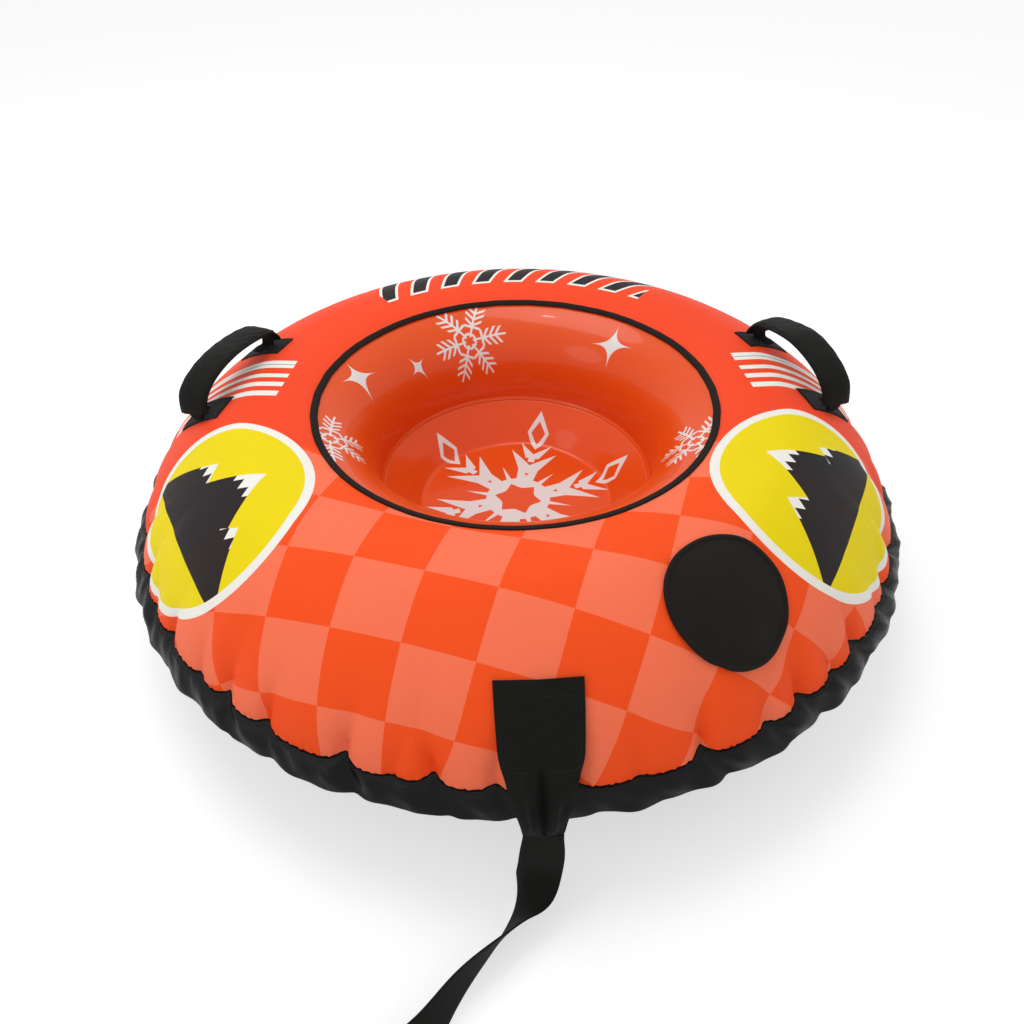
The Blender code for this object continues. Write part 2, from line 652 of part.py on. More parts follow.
def build_valve(cover, chamber, rubber, plastic, cutter_look):
    place, normal, downhill, across = frame_on_cover(VALVE_RADIUS, VALVE_ANGLE)
    matrix = axis_matrix(place, normal, downhill)
    count = VALVE_SIDES
    flange_under = -COVER_CLOTH
    flange_over = flange_under + VALVE_FLANGE
    bottom = flange_under - NECK_DEPTH
    web = bottom + WEB_THICKNESS
    overrun = NECK_DEPTH

    for name, pierced, radius in (("cover_hole_cutter", cover, COVER_HOLE_RADIUS),
                                  ("neck_hole_cutter", chamber, NECK_RADIUS + GAP)):
        hole = turned_disc(name, matrix, [(0.0, overrun), (radius, overrun)],
                           [(0.0, -overrun), (radius, -overrun)], count, cutter_look)
        cut(pierced, hole)

    def flat(radius, height):
        return placed(matrix, circle(radius, height, count))

    def lying(distance, lift):
        return polar_on_cover(VALVE_RADIUS, VALVE_ANGLE, distance, lift, count)

    shoulder = NECK_RADIUS + VALVE_FLANGE
    stem_hole = DIAPHRAGM_STEM + GAP
    inner = [flat(stem_hole, web), flat(NECK_BORE, web), flat(NECK_BORE, flange_over),
             lying(shoulder, flange_over), lying(VALVE_FLANGE_RADIUS, flange_over)]
    outer = [flat(stem_hole, bottom), flat(NECK_RADIUS, bottom), flat(NECK_RADIUS, flange_under),
             lying(shoulder, flange_under), lying(VALVE_FLANGE_RADIUS, flange_under)]
    body = ring_body("valve_body", inner, outer, plastic)
    for i in range(WEB_HOLES):
        turn = 2 * math.pi * (i + 0.5) / WEB_HOLES
        aside = (NECK_BORE + stem_hole) / 2
        shift = np.eye(4)
        shift[:3, 3] = (aside * math.cos(turn), aside * math.sin(turn), 0.0)
        drill = turned_disc(f"air_hole_cutter_{i + 1}", matrix @ shift,
                            [(0.0, web + WEB_THICKNESS), (WEB_HOLE_RADIUS, web + WEB_THICKNESS)],
                            [(0.0, bottom - WEB_THICKNESS), (WEB_HOLE_RADIUS, bottom - WEB_THICKNESS)],
                            AIR_HOLE_SIDES, cutter_look)
        cut(body, drill)

    disc_over = bottom - GAP
    head_under = web + GAP
    turned_disc("valve_diaphragm", matrix,
                [(0.0, head_under + DIAPHRAGM), (DIAPHRAGM_HEAD, head_under + DIAPHRAGM),
                 (DIAPHRAGM_HEAD, head_under), (DIAPHRAGM_STEM, head_under), (DIAPHRAGM_STEM, disc_over),
                 (DIAPHRAGM_RADIUS, disc_over)],
                [(0.0, disc_over - DIAPHRAGM), (DIAPHRAGM_RADIUS, disc_over - DIAPHRAGM)],
                DIAPHRAGM_SIDES, rubber)

    axis = empty_at("valve_axis", place, normal)
    head_under = flange_over + GAP
    head_over = head_under + CAP_HEAD
    chamfer = CAP_HEAD / 3
    stem = NECK_BORE - GAP
    stem_under = flange_over - CAP_STEM
    cap = turned_disc("valve_cap", matrix,
                      [(0.0, head_over), (CAP_HEAD_RADIUS - chamfer, head_over),
                       (CAP_HEAD_RADIUS, head_over - chamfer), (CAP_HEAD_RADIUS, head_under),
                       (stem, head_under), (stem, stem_under + chamfer)],
                      [(0.0, stem_under), (stem - chamfer, stem_under)], count, plastic)
    reach = CAP_HEAD_RADIUS - 2 * CAP_HEAD
    outline = [(-reach, -CAP_RIB_WIDTH / 2), (reach, -CAP_RIB_WIDTH / 2), (reach, CAP_RIB_WIDTH / 2),
               (-reach, CAP_RIB_WIDTH / 2)]
    levels = (head_over - chamfer, head_over + CAP_RIB_HEIGHT)
    rib = capped_body("cap_rib_joiner", [placed(matrix, [(x, y, z) for x, y in outline]) for z in levels],
                      cutter_look)
    rib.hide_render = True
    rib.display_type = "WIRE"
    join = cap.modifiers.new("rib", "BOOLEAN")
    join.operation = "UNION"
    join.object = rib
    hang(cap, axis)


def hang(piece, axis):
    """Hangs a piece on a joint's empty without moving it."""
    piece.parent = axis
    piece.matrix_parent_inverse = axis.matrix_basis.inverted()


def lying_sheet(name, length, angle, size, lifts, cells, look):
    """A sheet on the cover: (down, across) in size, between two lifts, which may be functions."""
    downs = np.linspace(-size[0] / 2, size[0] / 2, cells[0] + 1)
    asides = np.linspace(-size[1] / 2, size[1] / 2, cells[1] + 1)
    grids = []
    for lift in lifts:
        rows = []
        for down in downs:
            height = lift(down) if callable(lift) else lift
            rows.append([on_cover(length + down, angle, aside, height) for aside in asides])
        grids.append(np.array(rows))
    return slab(name, grids[1], grids[0], look)


def build_flap(cloth, tape, fuzz):
    length = length_at(VALVE_RADIUS)
    count = FLAP_SIDES
    inner = FLAP_RADIUS - 2 * FLAP_ROLL
    middle = FLAP_RADIUS - FLAP_ROLL
    centre = FLAP_REST + FLAP_ROLL
    half = FLAP_CLOTH / 2

    def lying(distance, lift):
        return polar_on_cover(VALVE_RADIUS, VALVE_ANGLE, distance, lift, count)

    shares = (0.0, 0.25, 0.5, 0.72, 0.92)
    over = [lying(inner * share, flap_lift(inner * share) + half) for share in shares]
    under = [lying(inner * share, flap_lift(inner * share) - half) for share in shares]
    roll = [(middle - FLAP_ROLL * math.cos(turn), FLAP_ROLL * math.sin(turn))
            for turn in np.radians((40, 90, 135, 180))]
    over += [lying(distance, centre + rise) for distance, rise in roll]
    under += [lying(distance, centre - rise) for distance, rise in roll[:-1]]
    flap = ring_body("valve_flap", over, under, cloth, closed=False)

    fold = on_cover(length - middle, VALVE_ANGLE, 0.0, centre)
    across = np.array([-math.sin(VALVE_ANGLE), math.cos(VALVE_ANGLE), 0.0])
    axis = empty_at("flap_axis", fold, -across)
    hang(flap, axis)

    tape_at = length - FLAP_RADIUS - GAP - HINGE_TAPE_LENGTH / 2
    lying_sheet("flap_hinge_tape", tape_at, VALVE_ANGLE, (HINGE_TAPE_LENGTH, HINGE_TAPE_WIDTH),
                (GAP, GAP + TAPE_CLOTH), (2, 4), tape)
    pad_at = COVER_HOLE_RADIUS + PAD_LENGTH
    lying_sheet("flap_loop_pad", length + pad_at, VALVE_ANGLE, (PAD_LENGTH, PAD_WIDTH),
                (GAP, GAP + PAD_CLOTH), (2, 4), fuzz)
    roof = lambda down: flap_lift(pad_at + down) - half - 3 * GAP
    hook = lying_sheet("flap_hook_pad", length + pad_at, VALVE_ANGLE, (PAD_LENGTH, PAD_WIDTH),
                       (2 * GAP + PAD_CLOTH, roof), (2, 4), fuzz)
    hang(hook, axis)


# Handles: webbing in a padded sleeve, standing on two patches. Each folds on the line through its two ends.

def handle_frame():
    """The right handle's fold line: its middle, half its length and its three directions."""
    ends = []
    for radius, angle in ((FRONT_END_RADIUS, FRONT_END_ANGLE), (REAR_END_RADIUS, REAR_END_ANGLE)):
        place, normal = frame_on_cover(radius, angle)[:2]
        ends.append(place + normal * FOLD_HEIGHT)
    along = ends[1] - ends[0]
    half = np.linalg.norm(along) / 2
    along /= 2 * half
    out = np.cross(along, (0.0, 0.0, 1.0))
    out /= np.linalg.norm(out)
    return (ends[0] + ends[1]) / 2, half, along, out, np.cross(out, along)


def cover_height(x, y, lift):
    """The height of the cover's outer face under a point, raised so that the lift is square to the cloth."""
    radius = math.hypot(x, y)
    step = GAP
    here, beyond = np.interp((radius, radius + step), COVER_PLACES[:, 0], COVER_PLACES[:, 1])
    return here + lift * math.hypot(1.0, (beyond - here) / step)


def build_handle(side_name, side, rise, fullness, lean, cloth, webbing, padding):
    middle, half, along, out, up = handle_frame()
    mirror = np.array([side, 1.0, 1.0])
    leaned_up = math.cos(lean) * up + math.sin(lean) * out
    leaned_out = math.cos(lean) * out - math.sin(lean) * up

    def at(c, a, u):
        return (middle + c * along + a * leaned_out + u * leaned_up) * mirror

    def on_cloth(c, a, lift):
        """A point on the cover that lies in the plane square to the fold line at c."""
        point = middle + c * along + a * out
        for _ in range(3):
            point[2] = cover_height(point[0], point[1], lift)
            point += along * (c - (point - middle) @ along)
        return point * mirror

    power = 2 / fullness

    def arch(turn):
        """Place, outward direction in the handle's plane, at a turn of 0 to pi from the front leg's top."""
        def place(t):
            c = -half * math.copysign(abs(math.cos(t)) ** power, math.cos(t))
            top = rise - c * along[2] / leaned_up[2]
            return np.array([c, SLEEVE_START + (top - SLEEVE_START) * max(math.sin(t), 0.0) ** power])
        step = 1e-3
        way = place(min(turn + step, math.pi)) - place(max(turn - step, 0.0))
        way /= np.hypot(*way)
        return place(turn), np.array([-way[1], way[0]])

    turns = np.radians((0, 6, 13, 21, 34, 50, 70, 90, 110, 130, 146, 159, 167, 174, 180))

    def strip(width, thickness):
        """The webbing's rings of four corners, with a round nose on each end."""
        rows = []
        nose = [(WEBBING_END_RADIUS * math.sin(turn), WEBBING_END_RADIUS * math.cos(turn))
                for turn in np.radians((-75, -50, -25, 0))]
        for u, wide in nose:
            rows.append(([-half, u], [-1.0, 0.0], wide))
        for turn in turns:
            place, outward = arch(turn)
            rows.append((place, outward, width / 2))
        for u, wide in nose[::-1]:
            rows.append(([half, u], [1.0, 0.0], wide))
        rings = []
        for (c, u), (nc, nu), wide in rows:
            rings.append(np.array([at(c + nc * e * thickness / 2, a * wide, u + nu * e * thickness / 2)
                                   for a, e in ((1, 1), (-1, 1), (-1, -1), (1, -1))]))
        return rings

    axis = empty_at(side_name + "_handle_axis", middle * mirror, along * mirror * side)
    strap = capped_body(side_name + "_handle_webbing", strip(WEBBING_WIDTH, WEBBING), webbing)
    hang(strap, axis)

    hollow = WEBBING / 2 + GAP
    outer_rings, inner_rings = [], []
    end_width = WEBBING_WIDTH + 2 * GAP + 2 * SLEEVE_WALL
    for i, turn in enumerate(turns):
        (c, u), (nc, nu) = arch(turn)
        share = SLEEVE_TAPER_SHARES[min(i, len(turns) - 1 - i, len(SLEEVE_TAPER_SHARES) - 1)]
        wide = (end_width + (SLEEVE_WIDTH - end_width) * share) / 2
        for rings, reach, depth in ((outer_rings, wide, hollow + SLEEVE_WALL),
                                    (inner_rings, wide - SLEEVE_WALL, hollow)):
            rings.append(np.array([at(c + nc * e * depth, a * reach, u + nu * e * depth)
                                   for a, e in SLEEVE_CORNER_SHARES]))
    sleeve = ring_body(side_name + "_handle_sleeve", outer_rings, inner_rings, padding)
    hang(sleeve, axis)

    tab_names = {-1: "front", 1: "rear"}
    for end in (-1, 1):
        name = f"{side_name}_{tab_names[end]}"
        patch_top = GAP + PATCH_CLOTH
        downs = np.linspace(half + PATCH_REACH, half + PATCH_REACH - PATCH_WIDTH, 4)
        asides = np.linspace(-PATCH_LENGTH / 2, PATCH_LENGTH / 2, 6)
        grids = [np.array([[on_cloth(end * c, a, lift) for a in asides] for c in downs])
                 for lift in (patch_top, GAP)]
        slab(name + "_patch", grids[0], grids[1], cloth)

        near = half - WEBBING / 2 - GAP
        foot_lift = patch_top + GAP
        wide = WEBBING_END_RADIUS
        faces = []
        for lift, face in ((foot_lift, near), (foot_lift + WEBBING, near - WEBBING)):
            rows = [[on_cloth(end * c, a * wide, lift) for a in (-1, 0, 1)]
                    for c in (near - WEBBING - TAB_FOOT, near - WEBBING - TAB_FOOT / 2, face)]
            for turn in np.radians((0, 35, 70)):
                u, a_reach = wide * math.sin(turn), wide * math.cos(turn)
                rows.append([at(end * face, a * a_reach, u) for a in (-1, 0, 1)])
            faces.append(np.array(rows))
        slab(name + "_tab", faces[1], faces[0], webbing)


# Tow anchor and strap.


def build_anchor(webbing):
    """Wide webbing sewn on the shoulder, drawn over the rim band and pleated down to the strap's width."""
    start = length_at(ANCHOR_RADIUS)
    end = length_at(RIM_RADIUS)
    total = end - start
    crest = GATHER_REACH * (1 + sum(share for _, share, _ in GATHER_DEPTH_SHARES))
    section = []
    for share in ANCHOR_ROW_SHARES:
        place = on_cover(start + total * share, 0.0, 0.0, 0.0)
        wave = fade((place[0], place[2]), GATHER_FADE_UP)
        section.append(on_cover(start + total * share, 0.0, 0.0, GAP + crest * wave)[[0, 2]])
    stand = RIM_RADIUS + crest + ANCHOR_STAND_OFF / 2
    section.append(np.array([stand, RIM_HEIGHT + BAND_THICKNESS]))
    low = band_point(ANCHOR_LOW_SHARE, BAND_THICKNESS) + np.array([crest * BAND_FLARE_SHARE, 0.0])
    section.append(low)
    tuck = BAND_SPREAD * ANCHOR_TUCK_SHARE
    section.append(np.array([low[0] + tuck, RIM_HEIGHT - BAND_DROP - GATHER_DIP]))
    section = np.array(section)
    way = np.gradient(section, axis=0)
    way /= np.hypot(*way.T)[:, None]
    normals = np.stack([-way[:, 1], way[:, 0]], 1)
    columns = np.linspace(-0.5, 0.5, len(ANCHOR_PLEAT_SHARES))
    grids = []
    for lift in (ANCHOR_WEBBING, 0.0):
        rows = []
        for place, normal, share in zip(section, normals, ANCHOR_WIDTH_SHARES):
            gathered = (1 - share) / (1 - ANCHOR_WIDTH_SHARES[-1])
            row = []
            for column, pleat in zip(columns, ANCHOR_PLEAT_SHARES):
                radius, height = place + normal * (lift + ANCHOR_PLEAT * gathered * pleat)
                turn = ANCHOR_ANGLE + ANCHOR_WIDTH * share * column / radius
                row.append([radius * math.cos(turn), radius * math.sin(turn), height])
            rows.append(row)
        grids.append(np.array(rows))
    slab("tow_anchor", grids[0], grids[1], webbing)
    middles = (grids[0] + grids[1])[:, len(columns) // 2] / 2
    way = middles[-1] - middles[-2]
    return middles[-1], way / np.linalg.norm(way)


def smooth_route(points, count):
    """Points read off a smooth curve through a route's own points, spaced alike."""
    points = np.array(points, float)
    ends = np.vstack([2 * points[0] - points[1], points, 2 * points[-1] - points[-2]])
    dense = []
    for i in range(1, len(ends) - 2):
        a, b, c, d = ends[i - 1:i + 3]
        for t in np.linspace(0.0, 1.0, 12, endpoint=False):
            dense.append(0.5 * (2 * b + (c - a) * t + (2 * a - 5 * b + 4 * c - d) * t * t
                                + (3 * b - a - 3 * c + d) * t * t * t))
    dense = np.array(dense + [points[-1]])
    length = np.concatenate([[0.0], np.cumsum(np.linalg.norm(np.diff(dense[:, :3], axis=0), axis=1))])
    even = np.linspace(0.0, length[-1], count)
    return np.stack([np.interp(even, length, dense[:, k]) for k in range(dense.shape[1])], 1)


def build_strap(start, start_way, webbing):
    """A flat strap that falls from the anchor, stands on its edge on the ground and then lies down."""
    route = [(*(start + start_way * GAP), 0.0)]
    for x, y, height, tilt in STRAP_ROUTE:
        turn = math.radians(tilt)
        if height is None:
            height = STRAP_WIDTH / 2 * math.sin(turn) + STRAP_WEBBING / 2 * abs(math.cos(turn)) + 4 * GAP
        route.append((x, y, height, turn))
    path = smooth_route(route, STRAP_POINTS)
    way = np.gradient(path[:, :3], axis=0)
    way[0] = start_way
    way /= np.linalg.norm(way, axis=1)[:, None]
    rings = []
    for place, tangent in zip(path, way):
        heading = np.array([tangent[0], tangent[1] - abs(tangent[2]), 0.0])
        heading /= np.linalg.norm(heading)
        level = np.array([-heading[1], heading[0], 0.0])
        wide = math.cos(place[3]) * level + math.sin(place[3]) * np.array([0.0, 0.0, 1.0])
        wide -= tangent * (wide @ tangent)
        wide /= np.linalg.norm(wide)
        thick = np.cross(tangent, wide)
        rings.append(np.array([place[:3] + wide * a * STRAP_WIDTH / 2 + thick * e * STRAP_WEBBING / 2
                               for a, e in ((1, 1), (-1, 1), (-1, -1), (1, -1))]))
    capped_body("tow_strap", rings, webbing)
    return path[-1][:3], way[-1]


def build_hand_loop(end, way, webbing):
    """The strap's far end, turned back on itself and sewn: an eye lying on the ground."""
    way = np.array([way[0], way[1], 0.0]) / math.hypot(way[0], way[1])
    aside = np.array([-way[1], way[0], 0.0])
    start = np.array([end[0], end[1], 0.0]) + way * GAP
    half = STRAP_WEBBING / 2
    floor = GAP + half
    bend = LOOP_HEIGHT * LOOP_BEND_SHARE
    spots = [LOOP_LENGTH * share for share in LOOP_LENGTH_SHARES]
    outline = [(0.0, floor), (spots[0], floor), (spots[1], floor)]
    for turn in np.radians((-60, -20, 20, 60)):
        outline.append((LOOP_LENGTH - bend - half + bend * math.cos(turn),
                        floor + bend * (1 + math.sin(turn))))
    sewn = floor + STRAP_WEBBING + GAP
    outline += [(spots[2], LOOP_HEIGHT - half), (spots[3], LOOP_HEIGHT * LOOP_SAG_SHARE), (spots[4], sewn)]
    path = np.array(outline + [(0.0, sewn)])
    step = np.gradient(path, axis=0)
    step /= np.hypot(*step.T)[:, None]
    normal = np.stack([-step[:, 1], step[:, 0]], 1)
    rings = []
    for (x, z), (nx, nz) in zip(path, normal):
        rings.append(np.array([start + way * (x + nx * e * half) + aside * a * STRAP_WIDTH / 2
                               + np.array([0.0, 0.0, z + nz * e * half])
                               for a, e in ((1, 1), (-1, 1), (-1, -1), (1, -1))]))
    capped_body("tow_hand_loop", rings, webbing)


def main():
    clear_scene()
    film = material("seat film", (0.80, 0.10, 0.03), 0.30)
    printed = material("printed cover cloth", (0.93, 0.11, 0.03), 0.55)
    base_cloth = material("slide cloth", (0.02, 0.02, 0.02), 0.60)
    tape = material("black tape", (0.012, 0.012, 0.011), 0.75)
    webbing = material("black webbing", (0.010, 0.010, 0.009), 0.85)
    padding = material("black padded cloth", (0.013, 0.013, 0.012), 0.80)
    fuzz = material("hook and loop", (0.015, 0.015, 0.015), 0.95)
    plastic = material("valve plastic", (0.05, 0.05, 0.05), 0.40)
    rubber = material("valve rubber", (0.03, 0.03, 0.03), 0.55)

    chamber = build_chamber(film)
    build_seat_floor(film)
    cover = build_cover(printed)
    build_binding(tape)
    build_base(base_cloth)
    build_rim_band(tape)
    build_valve(cover, chamber, rubber, plastic, tape)
    build_flap(padding, tape, fuzz)
    for side_name, side, rise, fullness, lean in HANDLES:
        build_handle(side_name, side, rise, fullness, lean, tape, webbing, padding)
    anchor_end, anchor_way = build_anchor(webbing)
    end, way = build_strap(anchor_end, anchor_way, webbing)
    build_hand_loop(end, way, webbing)


main()
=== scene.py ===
# %% [markdown]
# # A snow tube for sledding
#
# The object is an air-filled ring in a cloth cover. The cover is gathered at the rim, where a
# black tape hides the seam. A rider sits in the opening, on a floor of shiny film, and holds two
# padded handles. A strap at the front pulls the tube uphill. The solids come from the packed
# model, and this script gives each of them its cloth, its stitches and its print.

import math

import bmesh
import bpy
import numpy as np
from mathutils import Matrix, Vector


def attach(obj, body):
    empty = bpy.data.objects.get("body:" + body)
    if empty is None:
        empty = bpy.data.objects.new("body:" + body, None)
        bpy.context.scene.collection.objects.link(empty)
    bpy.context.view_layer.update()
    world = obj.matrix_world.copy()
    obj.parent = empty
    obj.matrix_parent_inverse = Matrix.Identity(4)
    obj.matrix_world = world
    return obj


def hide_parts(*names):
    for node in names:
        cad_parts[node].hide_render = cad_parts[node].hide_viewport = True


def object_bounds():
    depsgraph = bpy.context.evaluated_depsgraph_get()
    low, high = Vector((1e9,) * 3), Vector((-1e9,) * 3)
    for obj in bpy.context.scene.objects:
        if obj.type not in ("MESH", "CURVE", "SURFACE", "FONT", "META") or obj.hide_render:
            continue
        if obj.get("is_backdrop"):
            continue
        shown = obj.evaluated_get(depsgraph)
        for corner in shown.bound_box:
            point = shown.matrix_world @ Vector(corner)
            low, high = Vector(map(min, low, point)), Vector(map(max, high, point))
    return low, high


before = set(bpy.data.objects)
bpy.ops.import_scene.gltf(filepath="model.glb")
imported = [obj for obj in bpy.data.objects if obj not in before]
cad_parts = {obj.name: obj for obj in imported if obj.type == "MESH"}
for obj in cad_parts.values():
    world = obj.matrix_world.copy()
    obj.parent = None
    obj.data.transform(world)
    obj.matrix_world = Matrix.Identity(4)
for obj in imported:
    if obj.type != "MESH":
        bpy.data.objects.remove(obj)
cad_box = [list(corner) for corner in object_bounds()]


def linked(name, data):
    """A new object in the scene from a mesh, a lamp or a camera."""
    made = bpy.data.objects.new(name, data)
    bpy.context.scene.collection.objects.link(made)
    return made


# %% [markdown]
# ## The camera
#
# The photograph looks down at the tube from about 41 degrees, from close by, so the front of the
# ring looks much larger than its back. The camera's three directions are set as a matrix: right,
# up and backwards. A small roll of under one degree matches the picture's slight tilt.

# %% Camera
EYE = np.array([-0.0055, -0.9233, 0.8768])
LOOK = np.array([-0.0004, 0.7562, -0.6543])
ROLL = math.radians(-0.86)
LOOK = LOOK / np.linalg.norm(LOOK)
level = np.cross(LOOK, (0.0, 0.0, 1.0))
level /= np.linalg.norm(level)
upward = np.cross(level, LOOK)
right = math.cos(ROLL) * level + math.sin(ROLL) * upward
upright = -math.sin(ROLL) * level + math.cos(ROLL) * upward

lens = bpy.data.cameras.new("photo_camera")
lens.lens = 30.0
lens.sensor_width = 36.0
lens.clip_end = 50.0
camera = linked("photo_camera", lens)
turned = np.eye(4)
turned[:3, 0], turned[:3, 1], turned[:3, 2], turned[:3, 3] = right, upright, -LOOK, EYE
camera.matrix_world = Matrix(turned.tolist())
bpy.context.scene.camera = camera
print("camera looks down by", round(math.degrees(math.asin(-LOOK[2])), 1), "degrees")

# %% [markdown]
# ## Floor and light
#
# The photograph is a product shot on white: light comes from all sides, the shadow under the tube
# is soft and pale, and only the shiny seat shows highlights. A pale floor, an even white world and
# two large lamps give that, and a small lamp adds a glint in the seat's film.

# %% Floor, world and lamps
FLOOR_REACH = 30.0
floor_mesh = bpy.data.meshes.new("floor")
floor_corners = [(x * FLOOR_REACH, y * FLOOR_REACH, 0) for x, y in ((-1, -1), (1, -1), (1, 1), (-1, 1))]
floor_mesh.from_pydata(floor_corners, [], [(0, 1, 2, 3)])
linked("floor", floor_mesh)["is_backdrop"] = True
world = bpy.data.worlds.new("studio")
world.use_nodes = True
bpy.context.scene.world = world
bpy.context.scene.view_settings.view_transform = "Standard"


LIT_PLACE = Vector((0.0, 0.0, 0.1))


def area_lamp(name, place, size, watts):
    """A round lamp that shines at the tube's middle."""
    lamp = bpy.data.lights.new(name, "AREA")
    lamp.shape = "DISK"
    lamp.size = size
    lamp.energy = watts
    made = linked(name, lamp)
    made.location = place
    made.rotation_euler = (LIT_PLACE - Vector(place)).to_track_quat("-Z", "Y").to_euler()


area_lamp("ceiling_softbox", (-0.5, 0.5, 2.6), 1.6, 23.0)
area_lamp("left_softbox", (-1.9, -1.2, 1.6), 1.2, 6.0)
area_lamp("small_lamp", (-0.29, 0.37, 2.62), 0.12, 0.9)

# %% [markdown]
# ## Shader sums written as Python
#
# A pattern is easier to read as a sum than as a heap of nodes. The class below wraps a shader
# socket, and its operators add the Math node that does the sum. `Finish.node` makes every other
# node: first its settings, then the values or links of its sockets.

# %% Sockets that can be added and multiplied
class Wire:
    """A shader socket in a sum. Each operator adds its own Math node, also with a number on its left."""

    def __init__(self, finish, socket):
        self.finish = finish
        self.socket = socket

    def sum(self, operation, *values):
        return self.finish.node("ShaderNodeMath", {"operation": operation}, dict(enumerate(values)))

    def __add__(self, other):
        return self.sum("ADD", self, other)

    def __sub__(self, other):
        return self.sum("SUBTRACT", self, other)

    def __rsub__(self, other):
        return self.sum("SUBTRACT", other, self)

    def __mul__(self, other):
        return self.sum("MULTIPLY", self, other)

    def __truediv__(self, other):
        return self.sum("DIVIDE", self, other)

    def __pow__(self, other):
        return self.sum("POWER", self, other)

    __radd__, __rmul__ = __add__, __mul__

    def size(self):
        return self.sum("ABSOLUTE", self)

    def wave(self):
        return self.sum("SINE", self)

    def root(self):
        return self.sum("SQRT", self)

    def cell(self):
        return self.sum("FLOOR", self)

    def most(self, other):
        return self.sum("MAXIMUM", self, other)

    def least(self, other):
        return self.sum("MINIMUM", self, other)

    def past(self, edge, soft=0.0004):
        """0 below the edge and 1 past it, with a soft step of that width in metres."""
        moved = (self - edge) / soft + 0.5
        return moved.most(0.0).least(1.0)

    def between(self, low, high, soft=0.0004):
        return self.past(low, soft) * (1.0 - self.past(high, soft))

    def fold(self, period):
        """The distance to the nearest whole period."""
        share = self / period
        return (share - (share + 0.5).cell()).size() * period


class Nodes:
    """A node tree, of a material or of the world, and the one method that adds nodes to it."""

    def __init__(self, tree):
        self.tree = tree

    def node(self, kind, settings, sockets, out=0):
        made = self.tree.nodes.new(kind)
        for name, value in settings.items():
            setattr(made, name, value)
        for name, value in sockets.items():
            if isinstance(value, Wire):
                self.tree.links.new(value.socket, made.inputs[name])
            else:
                made.inputs[name].default_value = value
        return Wire(self, made.outputs[out])

    def coordinates(self, layer=None):
        """X, Y and Z of the object's own space in metres, or of a UV map whose units are metres."""
        if layer is None:
            vector = self.node("ShaderNodeTexCoord", {}, {}, "Object")
        else:
            vector = self.node("ShaderNodeUVMap", {"uv_map": layer}, {})
        return vector, [self.node("ShaderNodeSeparateXYZ", {}, {0: vector}, k) for k in range(3)]

    def noise(self, vector, scale, detail=2.0):
        """Cloudy values from 0 to 1. Scale is lumps for each metre."""
        return self.node("ShaderNodeTexNoise", {}, {"Vector": vector, "Scale": scale, "Detail": detail}, 0)

    def mixed(self, under, over, share):
        """One colour over another by a share, which may be a mask."""
        colours = [c if isinstance(c, Wire) else (*c, 1.0) for c in (under, over)]
        return self.node("ShaderNodeMix", {"data_type": "RGBA"}, {0: share, 6: colours[0], 7: colours[1]}, 2)


class Finish(Nodes):
    """A material on one Principled shader. Numbers given by name go on the shader's own sockets."""

    def __init__(self, name, colour, roughness, **sockets):
        self.material = bpy.data.materials.new(name)
        self.material.use_nodes = True
        super().__init__(self.material.node_tree)
        self.shader = self.tree.nodes["Principled BSDF"]
        self.shader.inputs["Base Color"].default_value = (*colour, 1.0)
        self.shader.inputs["Roughness"].default_value = roughness
        for socket, value in sockets.items():
            self.shader.inputs[socket.replace("_", " ")].default_value = value

    def feed(self, socket, wire):
        self.tree.links.new(wire.socket, self.shader.inputs[socket])

    def relief(self, height, metres, strength=1.0):
        """Bump: a height from 0 to 1 is raised by that many metres."""
        self.feed("Normal", self.node("ShaderNodeBump", {}, {"Height": height, "Distance": metres,
                                                               "Strength": strength}))


def ink(red, green, blue):
    """A colour read off a picture, 0 to 255, as the shader's linear colour."""
    values = np.array([red, green, blue]) / 255.0
    linear = np.where(values <= 0.04045, values / 12.92, ((values + 0.055) / 1.055) ** 2.4)
    return tuple(float(v) for v in linear)


# %% [markdown]
# ## White paper and white air
#
# The paper and the world are both white, but they must look cleaner to the camera than the light
# they give, or the cloth would be washed out. Both therefore ask what kind of ray arrives: rays
# that show a surface get a bright, even white, and the others get the light that suits the cloth.

# %% White paper floor and world
paper = Finish("paper_floor", (0.90, 0.90, 0.90), 0.9)
SEEN_WHITE, SEEN_SHADE = 0.56, 0.54


def seen_rays(nodes):
    """1 for rays that show a surface to the camera, directly, in a gloss or through glass."""
    kinds = [nodes.node("ShaderNodeLightPath", {}, {}, kind)
             for kind in ("Is Camera Ray", "Is Glossy Ray", "Is Transmission Ray")]
    return kinds[0].most(kinds[1]).most(kinds[2])


glow = paper.node("ShaderNodeEmission", {}, {"Color": (1.0, 1.0, 1.0, 1.0), "Strength": SEEN_WHITE})
pale = paper.node("ShaderNodeBsdfDiffuse", {}, {"Color": (SEEN_SHADE, SEEN_SHADE, SEEN_SHADE, 1.0)})
seen = paper.node("ShaderNodeAddShader", {}, {0: glow, 1: pale})
plain = Wire(paper, paper.shader.outputs[0])
paper_out = paper.node("ShaderNodeMixShader", {}, {0: seen_rays(paper), 1: plain, 2: seen})
paper.tree.links.new(paper_out.socket, paper.tree.nodes["Material Output"].inputs["Surface"])
floor_mesh.materials.append(paper.material)

WORLD_LIGHT = 0.70
sky = Nodes(world.node_tree)
sky.tree.links.new((seen_rays(sky) * (1.0 - WORLD_LIGHT) + WORLD_LIGHT).socket,
                   sky.tree.nodes["Background"].inputs["Strength"])
sky.tree.nodes["Background"].inputs["Color"].default_value = (1.0, 1.0, 1.0, 1.0)
print("white ink is", [round(v, 3) for v in ink(243, 240, 232)])

